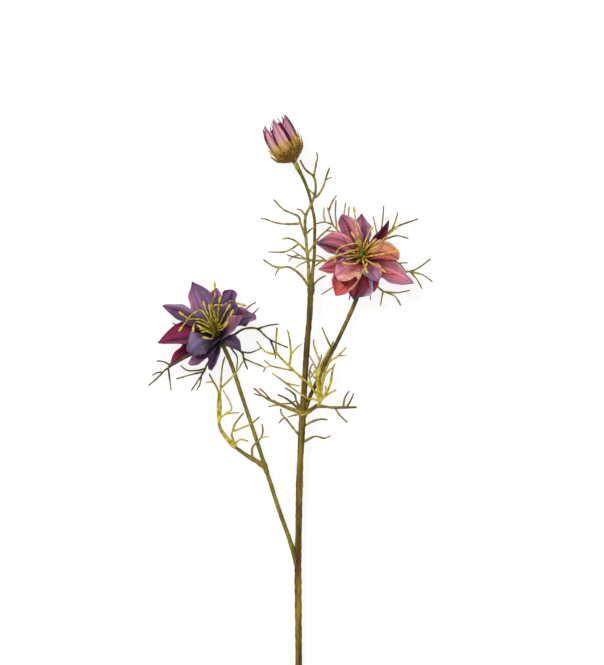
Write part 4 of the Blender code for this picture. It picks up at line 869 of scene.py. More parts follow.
# How each petal is shaped and dyed: how deep it is folded, how far its tip turns up, how its
# edges are crimped, how much painted shade darkens its fold; then heart, body, clockwise edge,
# the other edge and tip. The heart's dye is partly painted shade, and each edge's dye partly the
# light or shade that side takes.
VIOLET_LOOKS = [
    (0.25, 0.0, 0.0, 0.45, "night", "mauve", "dusk", "orchid", "plum"),
    (0.25, 0.8, 0.3, 0.45, "ink", "plum", "lilac", "dusk", "orchid"),
    (0.20, 0.6, 0.3, 0.40, "ink", "magenta", "wine", "wine", "magenta"),
    (0.20, 0.0, 0.3, 0.50, "ink", "wine", "maroon", "maroon", "plum"),
    (0.00, 0.0, 0.2, 0.00, "night", "heather", "lilac", "slate", "slate"),
    (0.30, 1.0, 0.3, 0.35, "night", "plum", "mauve", "dusk", "orchid"),
    (0.30, 0.8, 0.4, 0.45, "night", "dusk", "plum", "mauve", "plum"),
    (0.00, -1.0, 0.3, 0.10, "ink", "dusk", "slate", "mauve", "dusk"),
    (0.35, 0.0, 0.3, 0.15, "plum", "orchid", "mauve", "blush", "orchid"),
    (0.20, 0.0, 1.7, 0.60, "ink", "slate", "dusk", "orchid", "orchid"),
    (0.20, 0.0, 1.8, 0.70, "ink", "dusk", "plum", "slate", "plum"),
    (0.20, 0.0, 0.4, 0.40, "night", "plum", "orchid", "maroon", "orchid"),
    # The last two lie deep in the heart; their dark dyes are painted shade.
    (0.45, 0.0, 0.3, 0.60, "ink", "slate", "dusk", "dusk", "mauve"),
    (0.20, 0.0, 0.2, 0.30, "ink", "night", "slate", "slate", "dusk"),
]
PINK_LOOKS = [
    (0.70, 0.0, 0.3, 1.00, "wine", "petunia", "blush", "orchid", "orchid"),
    (0.20, 0.0, 0.5, 0.30, "coral", "orchid", "mauve", "orchid", "plum"),
    (0.20, 0.0, 0.2, 0.30, "maroon", "wine", "maroon", "wine", "night"),
    (0.40, 0.0, 0.4, 0.60, "crimson", "salmon", "crimson", "peach", "salmon"),
    (0.25, 0.8, 1.1, 0.35, "crimson", "petunia", "orchid", "blush", "lilac"),
    (0.25, 0.6, 0.4, 0.60, "maroon", "crimson", "rose", "coral", "lilac"),
    (0.15, 0.0, 0.9, 0.10, "rose", "orchid", "lavender", "blush", "mauve"),
    (0.50, 0.6, 0.4, 0.80, "maroon", "crimson", "crimson", "rose", "rose"),
    (0.50, 0.6, 0.4, 0.70, "wine", "rose", "maroon", "lavender", "plum"),
    (0.60, 0.6, 0.3, 0.80, "crimson", "coral", "rose", "salmon", "coral"),
    (0.15, 0.0, 1.8, 0.20, "rose", "petunia", "orchid", "peach", "blush"),
    (0.50, 0.0, 0.4, 0.70, "wine", "rose", "petunia", "rose", "blush"),
    (0.70, 0.0, 0.4, 1.00, "wine", "petunia", "petunia", "lavender", "lilac"),
]


def petal_outline(u, blunt):
    """Half width from root to tip as a share: narrow claw, broad middle, pointed or blunt tip."""
    if u < BROADEST:
        return CLAW_SHARE + (1.0 - CLAW_SHARE) * math.sin(math.pi / 2.0 * u / BROADEST)
    closing = math.cos(math.pi / 2.0 * (u - BROADEST) / (1.0 - BROADEST))
    return max(TIP_LEAST, max(0.0, closing) ** (TIP_POWER - TIP_BLUNTING * blunt))


def eased(low, high, value):
    """From 0 at the low mark to 1 at the high one, with soft ends."""
    t = min(1.0, max(0.0, (value - low) / (high - low)))
    return t * t * (3.0 - 2.0 * t)


def petal_shade(u, v, seed, fold_shade, dyes, spread):
    """The colour: a heart dark partly as painted shade, painted shade in the fold, the body, an edge on
    each side that is partly lit or shaded, the tip, streaks and a painted highlight along the edges.
    """
    heart, body, near, far, tip = [Vector(paint(DYES[dye])) for dye in dyes]
    # The heart's dye is partly print and partly painted shade of the deep heart; each edge's dye is
    # partly print and partly the light or shade that side takes.
    colour = heart.lerp(body, eased(*spread, u))
    edge = near if v < 0.0 else far
    colour = colour.lerp(edge, abs(v) ** EDGE_POWER * eased(*spread, u))
    colour = colour.lerp(tip, TIP_DYE * eased(*TIP_FROM, u))
    # Painted shade darkens the line of the fold down the middle.
    aside = abs(v + CREASE_STRAY * math.sin(CREASE_WAVES * u + seed))
    colour = colour.lerp(heart * CREASE_SHADE, fold_shade * eased(CREASE_HALF, 0.0, aside))
    across, along, apart = STREAK_WAVES
    streak = noise.noise(Vector((v * across, u * along, seed * apart)))
    # A painted highlight lightens the outer edges, where they catch the light.
    highlight = EDGE_HIGHLIGHT * eased(*EDGE_HIGHLIGHT_ACROSS, abs(v)) * eased(*EDGE_HIGHLIGHT_ALONG, u)
    return [min(BRIGHTEST, c * (1.0 + STREAK * streak + highlight)) for c in colour]


def add_sheet(work, grid, bend, shade):
    """One grid of the cloth: bend gives each point's place, shade its colour."""
    tint = work.verts.layers.float_color["tint"]
    grain = work.loops.layers.uv["grain"]
    columns, rows = grid
    fresh = bmesh.ops.create_grid(work, x_segments=columns, y_segments=rows, size=1.0)["verts"]
    flat = {vertex: (vertex.co.x, (vertex.co.y + 1.0) / 2.0) for vertex in fresh}
    for face in {face for vertex in fresh for face in vertex.link_faces}:
        for loop in face.loops:
            loop[grain].uv = flat[loop.vert]
    for vertex, (v, u) in flat.items():
        vertex[tint] = (*shade(u, v)[:3], 1.0)
        vertex.co = place(bend(u, v))


def arched(root, bow, tip, u):
    """The place on an arch at a share u of it."""
    return root * (1 - u) ** 2 + bow * 2 * u * (1 - u) + tip * u**2


def petal_bend(centre, axis, shape, look, seed):
    """The place on a petal at a share u from root to tip and v from edge to edge."""
    middle, tip, width, roll, cup, ruffle, blunt = shape
    fold, hook, crimp = look
    middle, tip = Vector(middle), Vector(tip)
    reach = tip - centre
    outward = (reach - axis * reach.dot(axis)).normalized()
    root = centre - axis * RECEPTACLE_DROP + outward * (RECEPTACLE_RADIUS * ROOT_SHARE)
    bow = 2.0 * middle - (root + tip) / 2.0
    across = axis.cross(outward).normalized()
    drift = Vector([seed * step for step in CRUMPLE_SEEDS])

    def bend(u, v):
        spine = arched(root, bow, tip, u)
        along = ((bow - root) * (1 - u) + (tip - bow) * u).normalized()
        side = across - along * across.dot(along)
        side.rotate(Quaternion(along, math.radians(roll * min(1.0, u * ROLL_GAIN))))
        side.normalize()
        up = along.cross(side)
        waves, edge, apart = RAGGED_WAVES
        rag = noise.noise(Vector((u * waves, math.copysign(edge, v), seed * apart)))
        half = width * PETAL_WIDER / 2.0 * petal_outline(u, blunt) * (1.0 + RAGGED * rag)
        ruffled = math.sin(RUFFLE_WAVES[0] * u + RUFFLE_WAVES[1] * v) * abs(v) * u
        crimped = math.sin(CRIMP_WAVES[0] * u + CRIMP_WAVES[1] * v + seed) * abs(v) ** 3
        rise = cup * half * 2.0 * v * v + ruffle * ruffled
        rise += fold * half * (abs(v) ** FOLD_POWER - FOLD_SINK) * eased(*FOLD_FROM, u)
        rise += hook * u**HOOK_POWER
        rise += (crimp + CRIMP_LEAST) * crimped * eased(*CRIMP_FROM, u)
        spot = spine + side * (half * v) + up * rise
        crumple = noise.noise(spot * CRUMPLE_A_MM + drift) * CRUMPLE * eased(*CRUMPLE_FROM, u)
        return spot + up * crumple

    return bend


def cloth_piece(name, sheets, finish):
    """All the sheets of one bloom, given their thickness and rounded once."""
    work = bmesh.new()
    work.verts.layers.float_color.new("tint")
    work.loops.layers.uv.new("grain")
    for sheet in sheets:
        add_sheet(work, *sheet)
    mesh = bpy.data.meshes.new(name)
    work.to_mesh(mesh)
    work.free()
    mesh.materials.append(finish)
    guide = shown(name + "_guide", mesh)
    wall = guide.modifiers.new("wall", "SOLIDIFY")
    wall.thickness = PETAL_THICKNESS * MM
    wall.offset = 0.0
    rounding = guide.modifiers.new("rounding", "SUBSURF")
    rounding.levels = 1
    rounding.render_levels = 1
    piece = settled(name, guide)
    piece.data.shade_smooth()
    return piece


def vein_group():
    """Fine veins that run from root to tip on a piece's own map, as a mask."""
    group, given, result = new_group("pressed_veins", "ShaderNodeTree", {
        "Grain": "Vector", "Blotch": "Float", "Count": "Float",
    }, {"Vein": "Float"})
    across = add(group, "ShaderNodeSeparateXYZ", {"Vector": given["Grain"]})["X"]
    turns = reckon(group, "MULTIPLY_ADD", across, given["Count"], given["Blotch"])
    line = {"Value": reckon(group, "PINGPONG", turns, 1.0), "From Min": VEIN_WIDTH, "From Max": 1.0}
    vein = add(group, "ShaderNodeMapRange", line, interpolation_type="SMOOTHSTEP")["Result"]
    feed(group, result, {"Vein": vein})
    return group


def cloth_finish(name, vein, speck):
    """The tint, printed and with painted shade and highlights in it, with darker veins, blotches and a
    soft nap.
    """
    nap = {"Sheen Weight": 0.08, "Specular IOR Level": SKIN_SHINE}
    material, tree, shader = fresh_material(name, nap)
    mottle = mottled(tree, (260.0, 1500.0))
    grain = add(tree, "ShaderNodeUVMap", uv_map="grain")["UV"]
    pressed = {"Count": VEIN_COUNT, "Grain": grain, "Blotch": mottle["Blotch"]}
    veins = add(tree, "ShaderNodeGroup", pressed, node_tree=VEINS)["Vein"]
    colour = add(tree, "ShaderNodeAttribute", attribute_name="tint")["Color"]
    for mask, share, shade, mode in (
        (veins, vein, VEIN_SHADE, "MULTIPLY"),
        (mottle["Blotch"], BLOTCH_SHARE, BLOTCH_SHADE, "SOFT_LIGHT"),
        (mottle["Speck"], speck, SPECK_SHADE, "MULTIPLY"),
    ):
        colour = mixed(tree, scaled(tree, mask, share), colour, shade, mode)
    rough = scaled(tree, mottle["Speck"], 0.2, 0.55)
    feed(tree, shader, {"Base Color": colour, "Roughness": rough})
    height = reckon(tree, "MULTIPLY_ADD", veins, VEIN_PRESSED, mottle["Height"])
    relief(tree, shader, height, 0.0003)
    return material


VEINS = vein_group()
for name, slot, centre, axis, shapes, looks, spread in (
    ("violet", "violet_petal", VIOLET_CENTRE, VIOLET_AXIS, VIOLET_PETALS, VIOLET_LOOKS, VIOLET_SPREAD),
    ("pink", "coral_petal", PINK_CENTRE, PINK_AXIS, PINK_PETALS, PINK_LOOKS, PINK_SPREAD),
):
    sheets = []
    for i, (shape, (fold, hook, crimp, fold_shade, *dyes)) in enumerate(zip(shapes, looks)):
        bend = petal_bend(centre, axis, shape, (fold, hook, crimp), i)
        shade = functools.partial(petal_shade, seed=i, fold_shade=fold_shade, dyes=dyes, spread=spread)
        sheets.append((PETAL_GRID, bend, shade))
    petals = cloth_piece(name + "_petal_cloth", sheets, cloth_finish(name + "_cloth", *BLOOM_CLOTH))
    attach(petals, "root")
    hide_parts(name + "_petals")


# In the heart of each bloom a button, painted dark as in full shadow, carries the stamens:
# yellow-green wires with long ochre anthers that arch outwards, the outer ones far beyond the
# heart, and short ones close in. Painted shadow darkens the wires' roots.
RING_RISE = 0.8
RING_RADIUS = 3.5
RING_HALF = 1.1
STAMEN_SKIN = {"Sides": 8, "Roughen": 0.3, "Bumps a Metre": 700.0, "Wander": 0.0002}
STAMEN_RADIUS = 0.6
STAMEN_CIRCLE = 3.1
STAMEN_STAND = 4.5
STAMEN_LEAN = 0.5
STAMEN_STEP = 0.9
ANTHER_LENGTH = 4.8
ANTHER_RADIUS = 0.92
ANTHER_POWER = 0.7
ANTHER_ROOT = (1.0, 0.6)
ANTHER_END = (-0.3, 0.25)
WIRE_SHARE = 0.9
SHADOW_REACH = 9.0
SHORT_SEED = 5
SHORT_JITTER = 0.3
SHORT_RISE = (5.0, 13.0)
SHORT_CIRCLES = (2.7, 3.0, 2.8)
SHORT_SPREAD = 1.0
SHORT_ARCH = 0.5
SHORT_SHARE = 0.8
AGAINST = -0.35
# Each stamen: its heights where it arches and at the tip, and its places on the drawing.
VIOLET_STAMENS = [
    ((26.0, 24.0), [(-60.0, 291.3), (-57.9, 298.5), (-58.2, 308.2)]),
    ((27.0, 24.0), [(-58.5, 290.8), (-52.3, 291.9), (-46.6, 294.7), (-42.0, 293.0),
        (-35.8, 291.3)]),
    ((27.0, 28.0), [(-55.5, 289.0), (-54.0, 298.0)]),
    ((26.0, 24.0), [(-63.0, 286.0), (-66.2, 294.5)]),
    ((29.0, 30.0), [(-51.5, 285.0), (-47.1, 292.4)]),
    ((30.0, 31.0), [(-50.0, 280.0), (-44.9, 288.8)]),
    ((33.0, 28.0), [(-63.6, 283.6), (-68.2, 288.3), (-74.9, 284.2), (-77.4, 281.1),
        (-83.1, 273.4)]),
    ((31.0, 30.0), [(-64.6, 280.6), (-71.8, 282.2), (-75.9, 282.4), (-83.1, 287.2)]),
    ((34.0, 33.0), [(-63.5, 277.5), (-71.0, 280.0), (-73.3, 272.9)]),
    ((33.0, 35.0), [(-61.0, 272.5), (-70.2, 278.0)]),
    ((31.0, 33.0), [(-60.0, 268.5), (-66.5, 269.5)]),
    ((29.0, 31.0), [(-53.0, 275.0), (-48.5, 280.5)]),
    ((24.0, 22.0), [(-60.5, 284.0), (-62.0, 292.5)]),
]
PINK_STAMENS = [
    ((27.0, 29.0), [(42.5, 336.0), (40.5, 348.0), (38.9, 360.5)]),
    ((31.0, 28.0), [(41.3, 334.4), (34.5, 333.8), (28.7, 331.2), (26.0, 326.3), (25.9, 321.5)]),
    ((32.0, 31.0), [(41.3, 330.2), (31.5, 327.5), (21.0, 323.8)]),
    ((24.0, 24.0), [(51.5, 331.0), (61.0, 339.0), (70.1, 347.2)]),
    ((24.0, 25.0), [(46.5, 335.0), (50.0, 343.5), (52.5, 346.5)]),
    ((26.0, 28.0), [(47.5, 331.5), (54.6, 338.2)]),
    ((28.0, 30.0), [(50.5, 326.0), (59.5, 327.5), (69.5, 329.5)]),
    ((30.0, 33.0), [(48.0, 321.5), (45.2, 315.5), (41.3, 310.0)]),
    ((30.0, 29.0), [(49.5, 322.0), (56.0, 318.5), (61.4, 314.4)]),
    ((27.0, 27.0), [(42.0, 334.0), (37.0, 343.0)]),
    ((30.0, 31.0), [(41.0, 321.0), (34.5, 320.5), (30.5, 321.5)]),
    ((29.0, 31.0), [(50.0, 329.5), (57.0, 333.5)]),
    ((31.0, 34.0), [(46.0, 320.0), (48.5, 313.5)]),
]
# Each tuft of short ones: how many, how far the widest spreads and which way it leans.
VIOLET_TUFT = (19, 7.0, Vector((-0.4, 0.9, 0.0)))
PINK_TUFT = (22, 10.0, Vector((0.0, 0.0, 0.0)))


def anther_swell(rest):
    """How thick a stamen is, in wire radii, at a distance before its end."""
    if rest > ANTHER_LENGTH:
        return WIRE_SHARE
    share = rest / ANTHER_LENGTH
    bulge = math.sin(math.pi * share) ** ANTHER_POWER * eased(*ANTHER_ROOT, share)
    return WIRE_SHARE * eased(*ANTHER_END, share) + (ANTHER_RADIUS / STAMEN_RADIUS - WIRE_SHARE) * bulge


def stamen_path(ring, axis, heights, outline):
    """A wire that stands up beside the ovary and arches outwards to its anther."""
    middle, high = heights
    reach = Vector((*outline[0], middle)) - ring
    outward = (reach - axis * reach.dot(axis)).normalized()
    root = ring + outward * STAMEN_CIRCLE
    route = [root, root + axis * STAMEN_STAND + outward * STAMEN_LEAN]
    for i, (x, y) in enumerate(outline):
        t = i / max(1, len(outline) - 1)
        route.append(Vector((x, y, middle * (1 - t) + high * t)))
    return [fat(point, STAMEN_RADIUS) for point in smooth(route, STAMEN_STEP)]


def spoke(axis, angle):
    """The direction that stands out from an axis, at an angle round it."""
    return axis.to_track_quat("Z", "Y") @ Vector((math.cos(angle), math.sin(angle), 0.0))


def short_stamens(ring, axis, count, widest, lean):
    """Short wires close round the ovary; none grows against the way that the tuft leans."""
    draw = random.Random(SHORT_SEED)
    inner, middle, outer = SHORT_CIRCLES
    found = []
    for k in range(count):
        out = spoke(axis, math.tau * (k + draw.uniform(-SHORT_JITTER, SHORT_JITTER)) / count)
        rise, spread = draw.uniform(*SHORT_RISE), draw.uniform(SHORT_SPREAD, widest)
        if out.dot(lean) < AGAINST:
            continue
        arch = ring + out * middle + axis * rise * SHORT_ARCH
        route = [ring + out * inner, arch, ring + out * (outer + spread) + axis * rise]
        found.append([fat(p, STAMEN_RADIUS * SHORT_SHARE) for p in smooth(route, STAMEN_STEP)])
    return found


for name, centre, axis, wires, tuft, wire, deep, tip in (
    ("violet", VIOLET_CENTRE, VIOLET_AXIS, VIOLET_STAMENS, VIOLET_TUFT, "D0BE36", "62580E", "D2B440"),
    ("pink", PINK_CENTRE, PINK_AXIS, PINK_STAMENS, PINK_TUFT, "E8D066", "8E741A", "DCAC4C"),
):
    ring = centre + axis * RING_RISE
    paths = [stamen_path(ring, axis, heights, outline) for heights, outline in wires]
    paths += short_stamens(ring, axis, *tuft)
    button = button_path(ring, axis, RING_RADIUS, RING_HALF)
    marks = {"anther": [], "shadow": []}
    for path in paths:
        lengths = distances(path)
        for point, length in zip(path, lengths):
            rest = lengths[-1] - length
            point.w *= anther_swell(rest)
            marks["anther"].append(1.0 if rest < ANTHER_LENGTH else 0.0)
            marks["shadow"].append(max(0.0, 1.0 - length / SHADOW_REACH))
    marks["anther"] += [0.0] * len(button)
    # The button under the stamens is painted wholly in shadow.
    marks["shadow"] += [1.0] * len(button)
    finish = layered(name + "_stamen", paint(wire), [
        (paint(deep), ("Blotch",)),
        (paint(tip), ("anther",)),
        (paint(deep, 0.3), ("shadow",)),
        (paint(deep), ("Speck", 0.5, -0.05)),
        # Painted shade along each wire's outline.
        (paint(deep, 0.5), slant_shade(1.2)),
    ], (420.0, 1800.0), 0.0004, (0.0, 0.5))
    stamens = skinned(name + "_stamen_wires", [*paths, button], marks, STAMEN_SKIN, finish)
    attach(stamens, "root")
    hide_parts(name + "_stamens")


# The ovary stands among the stamens: five green carpels grown together, each with a long curved
# horn. The button under it is painted near black as the shade deep in the heart, and closes the
# petals' roots.
CARPEL_SKIN = {"Sides": 12, "Roughen": 0.1, "Bumps a Metre": 500.0, "Wander": 0.0}
HEART_SKIN = {"Sides": 24, "Roughen": 0.2, "Bumps a Metre": 600.0, "Wander": 0.0}
OVARY_RISE = 5.5
OVARY_HALF = 3.6
CARPELS = 5
CARPEL_POINTS = 10
CARPEL_SWELL = (0.12, 0.8)
CARPEL_OUT = 0.9
CARPEL_RADII = (0.25, 0.85)
HORN_POINTS = 8
HORN_LENGTH = 6.0
HORN_CURL = 2.2
HORN_RADII = (0.42, 0.25)
HORN_COLOUR = "A39A34"

# The heart's button is painted near black, as painted shade deep in the bloom.
shaded_heart = layered("shaded_heart", paint("2A1C22"), [
    (paint("160E12"), ("Blotch",)),
], (500.0, 1700.0), 0.0006, (0.0, 0.8), sheen=0.2)
for name, centre, axis, young, ripe, slot in (
    ("violet", VIOLET_CENTRE, VIOLET_AXIS, "6A7420", "3C4414", "violet_petal"),
    ("pink", PINK_CENTRE, PINK_AXIS, "7C9A2C", "4A5E1A", "coral_petal"),
):
    base = centre + axis * (OVARY_RISE - OVARY_HALF)
    horn_shares = [i / HORN_POINTS for i in range(1, HORN_POINTS + 1)]
    paths, along = [], []
    for k in range(CARPELS):
        out = spoke(axis, math.tau * k / CARPELS)
        path = []
        for i in range(CARPEL_POINTS):
            t = i / (CARPEL_POINTS - 1)
            swell = math.sin(math.pi * min(1.0, CARPEL_SWELL[0] + CARPEL_SWELL[1] * t))
            spot = base + axis * (2.0 * OVARY_HALF * t) + out * (CARPEL_OUT * swell)
            path.append(fat(spot, CARPEL_RADII[0] + CARPEL_RADII[1] * swell))
        horn_root = path[-1].to_3d()
        for t in horn_shares:
            spot = horn_root + axis * (HORN_LENGTH * t) + out * (HORN_CURL * t * t)
            path.append(fat(spot, HORN_RADII[0] - HORN_RADII[1] * t))
        paths.append(path)
        along += [0.0] * CARPEL_POINTS + horn_shares
    finish = layered(name + "_carpel", paint(young), [
        (paint(ripe), ("Blotch",)),
        (paint(HORN_COLOUR), ("along",)),
    ], (500.0, 1600.0), 0.0003, (0.0, 0.4))
    ovary = skinned(name + "_carpels", paths, {"along": along}, CARPEL_SKIN, finish)
    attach(ovary, "root")
    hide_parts(name + "_ovary")
    foot = centre - axis * RECEPTACLE_DROP
    path = button_path(foot, axis, RECEPTACLE_RADIUS, RECEPTACLE_HALF)
    heart = skinned(name + "_heart", [path], {}, HEART_SKIN, shaded_heart)
    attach(heart, "root")


# The bud's cup is a rounded olive-brown base, set all over with fine golden needles that point
# up and cling to the petals over their lower half. A few longer ones stand out at its sides.
CUP_SKIN = {"Sides": 16, "Roughen": 0.25, "Bumps a Metre": 500.0, "Wander": 0.0002}
CUP_STEP = 0.8
# Pairs of rise and radius, of the cup and of the surface that carries the coat.
BUD_CUP = [(0.0, 1.7), (1.3, 2.3), (3.0, 5.6), (5.5, 8.2), (8.0, 9.9), (9.6, 10.3), (10.0, 6.0)]
COAT_PROFILE = [(1.0, 2.2), (3.0, 5.2), (5.5, 7.8), (8.0, 9.3), (10.5, 9.9), (12.3, 10.0)]
COAT_SIDES = 24
COAT = {
    "Needles a Square Metre": 800000.0, "Length": 0.0046, "Radius": 0.00034, "Stand Out": 0.34,
    "Lean": BUD_AXIS, "Seed": 4,
}
COAT_CONE = {"Vertices": 6, "Side Segments": 3, "Radius Top": 0.00007}
COAT_SWAY = 0.42
COAT_SIZES = (0.6, 1.2)
NEEDLE_COUNT = 25
NEEDLE_SEED = 7
NEEDLE_JITTER = 0.3
NEEDLE_RISE = (2.2, 7.6)
NEEDLE_LENGTH = (8.0, 12.0)
NEEDLE_SPLAY = 1.6
NEEDLE_LEAN = 2.5
NEEDLE_DRIED = 0.8
NEEDLE_ROOT_DEPTH = 0.8
NEEDLE_STANDOFF = 1.8
NEEDLE_BOW = 11.0
NEEDLE_BOW_SHARE = 0.4
NEEDLE_END = 12.3
NEEDLE_STEP = 1.0
NEEDLE_RADIUS = 0.6
NEEDLE_TAPER = 0.8


def cup_radius(rise):
    """How wide the cup is at a rise above its foot."""
    for (low, near), (high, far) in zip(BUD_CUP, BUD_CUP[1:]):
        if rise <= high:
            return near + (far - near) * (rise - low) / (high - low)
    return BUD_CUP[-1][1]


def tapered(points, radius, taper):
    """A smooth path through the points that loses a share of its radius."""
    route = smooth(points, NEEDLE_STEP)
    return [fat(point, radius * share) for point, share in zip(route, shares(route, 1, -taper))]


def needle_path(angle, draw):
    """A long needle, as on the solid cup: it springs from the side and clings to the petals."""
    turn = BUD_AXIS.to_track_quat("Z", "Y")
    rise = draw.uniform(*NEEDLE_RISE)
    length = draw.uniform(*NEEDLE_LENGTH)
    splay = draw.uniform(0.0, NEEDLE_SPLAY)
    out = Vector((math.cos(angle), math.sin(angle), 0.0))
    lean = Vector((-math.sin(angle), math.cos(angle), 0.0)) * draw.uniform(-NEEDLE_LEAN, NEEDLE_LEAN)
    bow = max(cup_radius(rise) + NEEDLE_STANDOFF, NEEDLE_BOW)
    bow_rise = rise + length * NEEDLE_BOW_SHARE
    start = out * (cup_radius(rise) - NEEDLE_ROOT_DEPTH) + Vector((0.0, 0.0, rise))
    middle = out * bow + lean * NEEDLE_BOW_SHARE + Vector((0.0, 0.0, bow_rise))
    end = out * (NEEDLE_END + splay) + lean + Vector((0.0, 0.0, rise + length))
    points = [BUD_BASE + turn @ point for point in (start, middle, end)]
    return tapered(points, NEEDLE_RADIUS, NEEDLE_TAPER)


def coat_tree():
    """Sets a surface with short tapering needles that all lean one way along it."""
    tree, given, result = new_group("needle_coat", "GeometryNodeTree", {
        "Surface": "Geometry", "Needles a Square Metre": "Float", "Length": "Float",
        "Radius": "Float", "Stand Out": "Float", "Lean": "Vector", "Seed": "Int",
        "Finish": "Material",
    }, {"Coat": "Geometry"})
    seed = {"Seed": given["Seed"]}
    strewn = {"Mesh": given["Surface"], "Density": given["Needles a Square Metre"], **seed}
    spots = add(tree, "GeometryNodeDistributePointsOnFaces", strewn)
    shape = {**COAT_CONE, "Radius Bottom": given["Radius"], "Depth": given["Length"]}
    cone = add(tree, "GeometryNodeMeshCone", shape)["Mesh"]
    reach = {"Min": [-COAT_SWAY] * 3, "Max": [COAT_SWAY] * 3, **seed}
    sway = add(tree, "FunctionNodeRandomValue", reach, data_type="FLOAT_VECTOR")["Value"]
    outward = aimed(tree, "SCALE", {0: spots["Normal"], "Scale": given["Stand Out"]})
    lean = aimed(tree, "ADD", {0: outward, 1: given["Lean"]})
    lean = aimed(tree, "ADD", {0: lean, 1: sway})
    aim = add(tree, "FunctionNodeAlignRotationToVector", {"Vector": lean})[0]
    # Sockets 2 and 3 are the least and the most of a plain number, and output 1 is the number.
    size = add(tree, "FunctionNodeRandomValue", {2: COAT_SIZES[0], 3: COAT_SIZES[1], **seed})[1]
    needles = {"Points": spots["Points"], "Instance": cone, "Rotation": aim, "Scale": size}
    planted = add(tree, "GeometryNodeInstanceOnPoints", needles)[0]
    return end_tree(tree, result, planted, given["Finish"])


def coat_surface():
    """The open turned surface about the bud's axis that carries the coat."""
    turn = BUD_AXIS.to_track_quat("Z", "Y")
    points, faces = [], []
    for row, (rise, radius) in enumerate(COAT_PROFILE):
        low = (row - 1) * COAT_SIDES
        high = row * COAT_SIDES
        for k in range(COAT_SIDES):
            angle = math.tau * k / COAT_SIDES
            spot = Vector((radius * math.cos(angle), radius * math.sin(angle), rise))
            points.append(place(BUD_BASE + turn @ spot))
            n = (k + 1) % COAT_SIDES
            if row:
                faces.append((low + k, low + n, high + n, high + k))
    mesh = bpy.data.meshes.new("coat_surface")
    mesh.from_pydata(points, [], faces)
    return mesh


cup_path = []
for point in smooth([Vector((rise, 0.0, 0.0, radius)) for rise, radius in BUD_CUP[:-1]], CUP_STEP):
    cup_path.append(fat(BUD_BASE + BUD_AXIS * point.x, point.w))
top_rise, top_radius = BUD_CUP[-1]
cup_path.append(fat(BUD_BASE + BUD_AXIS * top_rise, top_radius))
needles, draw = [], random.Random(NEEDLE_SEED)
for k in range(NEEDLE_COUNT):
    turned = k + draw.uniform(-NEEDLE_JITTER, NEEDLE_JITTER)
    needles.append(needle_path(math.tau * turned / NEEDLE_COUNT, draw))
along = [1.0] * len(cup_path)
for path in needles:
    along += shares(path, 0.0, NEEDLE_DRIED)
olive = leaf_finish("cup_skin", "9A7C26", "5A4210", "6A4A18")
bud_cup = skinned("bud_cup_needles", [cup_path, *needles], {"along": along}, CUP_SKIN, olive)
golden = leaf_finish("golden_needle", "ECC858", "B0842C", "C8A848")
needle_coat = grown("bud_needle_coat", coat_tree(), coat_surface(), COAT, golden)
for piece in (bud_cup, needle_coat):
    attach(piece, "root")
    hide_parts("bud_needles")


# The bud's petals are narrow cloth tongues, joined low down and peach there, pink above, with
# whiskers for tips. They stand round dark maroon ones, which show in the slits between them; their
# dark is partly their dye and partly painted shade of the slits.
BUD_PETAL_COUNT = 8
BUD_PETAL_SEED = 3
BUD_PETAL_JITTER = 0.12
BUD_PETAL_TUCK = 1.2
BUD_PETAL_HOLLOW = (0.4, 1.2)
BUD_GRID = (10, 20)
BUD_CORE_RISE = 11.3
BUD_ROOT_RADIUS = 8.6
BUD_SWAY = Vector((1.9, 1.15, 0.0))
BUD_SPREAD = (0.26, 0.56)
BUD_CLOTH = (0.45, 0.3)
TONGUE_CLAW = 0.62
TONGUE_WIDTH = 9.6
TONGUE_BROADEST = 0.24
TONGUE_CLOSING = 0.46
TONGUE_ROOT_DEPTH = 3.0
TONGUE_SHIFTS = (0.0, -0.08, -0.04, 0.2, 0.0, 0.0, 0.0, 0.0)
TONGUE_BOW = (8.5, 11.9)
TONGUE_TIP = (21.7, 9.8)
TONGUE_TUCKED = (0.4, 2.0)
TONGUE_SWING = (0.7, 1.9)
INNER_INSET = 1.0
INNER_TURN = 0.5
INNER_DROP = 3.4
INNER_CLOSER = 1.6
INNER_WIDER = 0.32
SIDE_SINK = Vector((0.0, 0.0, 0.4))
WHISKER_SKIN = {"Sides": 6, "Roughen": 0.1, "Bumps a Metre": 500.0, "Wander": 0.0001}
WHISKER_START = 0.92
WHISKER_SHARE = 0.1
WHISKER_SEED = 8
WHISKER_SIDES = (-0.7, 0.65)
WHISKER_JITTER = 0.2
WHISKER_ROOT = (0.66, 0.76)
WHISKER_STRAY = 0.8
WHISKER_REACH = (5.0, 8.0)
WHISKER_RADIUS = 0.5
WHISKER_TAPER = 0.6
BUD_DYES = {
    "outer": ("tan", "blush", "orchid", "blush", "mauve"),
    "side": ("maroon", "wine", "wine", "wine", "rose"),
    # The inner tongues' wine is partly their dye and partly painted shade of the slits.
    "inner": ("wine", "wine", "wine", "wine", "maroon"),
}


def tongue_outline(u):
    """Half width of a bud petal as a share: broad and joined low, slim above, a whisker at last."""
    if u < TONGUE_BROADEST:
        return TONGUE_CLAW + (1.0 - TONGUE_CLAW) * math.sin(math.pi / 2.0 * u / TONGUE_BROADEST)
    closing = (u - TONGUE_BROADEST) / (WHISKER_START - TONGUE_BROADEST)
    return max(WHISKER_SHARE, math.cos(math.pi / 2.0 * min(1.0, closing)) ** TONGUE_CLOSING)


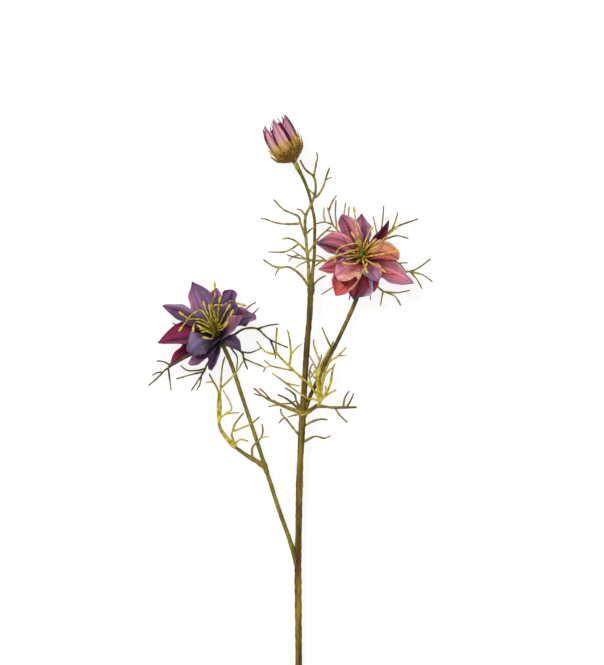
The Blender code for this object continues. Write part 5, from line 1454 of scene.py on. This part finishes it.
def tongue_bend(core, out, tuck, inset, seed):
    """The place on a bud petal at a share u from root to tip and v from edge to edge."""
    root = core + out * BUD_ROOT_RADIUS - BUD_AXIS * TONGUE_ROOT_DEPTH
    bow_rise, bow_radius = TONGUE_BOW
    middle = core + BUD_AXIS * bow_rise + out * (bow_radius - TONGUE_TUCKED[0] * tuck - inset)
    tip_rise, tip_radius = TONGUE_TIP
    high = tip_rise - TONGUE_TUCKED[1] * tuck - INNER_DROP * inset
    tip = core + BUD_AXIS * high + out * (tip_radius + tuck - INNER_CLOSER * inset)
    bow = 2.0 * middle - (root + tip) / 2.0
    across = BUD_AXIS.cross(out).normalized()
    swing, turn = TONGUE_SWING
    deep, deeper = BUD_PETAL_HOLLOW

    def bend(u, v):
        half = TONGUE_WIDTH / 2.0 * tongue_outline(u) * (1.0 + INNER_WIDER * inset)
        sway = swing * math.sin(seed * turn) * u**3
        hollow = half * deep * v * v * (1.0 + deeper * u)
        spine = arched(root, bow, tip, u)
        return spine + BUD_SWAY * u**2 + across * (half * v + sway) - out * hollow

    return bend


def bud_sheets():
    """The outer tongues as on the solid bud, dark ones at its two sides, and inside ones dark partly as
    painted shade.
    """
    core = BUD_BASE + BUD_AXIS * BUD_CORE_RISE
    draw = random.Random(BUD_PETAL_SEED)
    found = []
    for k in range(BUD_PETAL_COUNT):
        jitter = draw.uniform(-BUD_PETAL_JITTER, BUD_PETAL_JITTER)
        tuck = draw.uniform(0.0, BUD_PETAL_TUCK)
        outer = "side" if k in (0, BUD_PETAL_COUNT // 2) else "outer"
        for shift, inset, kind in ((0.0, 0.0, outer), (INNER_TURN, INNER_INSET, "inner")):
            turned = k + jitter + shift + TONGUE_SHIFTS[k]
            out = spoke(BUD_AXIS, math.tau * turned / BUD_PETAL_COUNT)
            if kind == "side":
                out = (out - SIDE_SINK).normalized()
            bend = tongue_bend(core, out, tuck, inset, k + shift)
            look = {"fold_shade": 0.0, "dyes": BUD_DYES[kind], "spread": BUD_SPREAD}
            found.append((BUD_GRID, bend, functools.partial(petal_shade, seed=k, **look)))
    return found


def whisker_paths(sheets):
    """Fine hairs that run on from each bud petal's edges, beyond its tip."""
    draw = random.Random(WHISKER_SEED)
    found = []
    for _, bend, _ in sheets:
        for side in WHISKER_SIDES:
            side += draw.uniform(-WHISKER_JITTER, WHISKER_JITTER)
            root, near = [bend(u, side) for u in WHISKER_ROOT]
            onward = (near - root).normalized()
            away = Vector([draw.uniform(-WHISKER_STRAY, WHISKER_STRAY) for _ in range(3)])
            end = near + onward * draw.uniform(*WHISKER_REACH) + away
            found.append(tapered([root, near, end], WHISKER_RADIUS, WHISKER_TAPER))
    return found


sheets = bud_sheets()
hairs = whisker_paths(sheets)
along = [share for path in hairs for share in shares(path)]
hair = leaf_finish("whisker", "90506E", "5A1C38", "8E5A70")
whiskers = skinned("bud_whiskers", hairs, {"along": along}, WHISKER_SKIN, hair)
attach(whiskers, "root")
bud_petals = cloth_piece("bud_petal_cloth", sheets, cloth_finish("bud_cloth", *BUD_CLOTH))
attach(bud_petals, "root")
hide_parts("bud_petals")
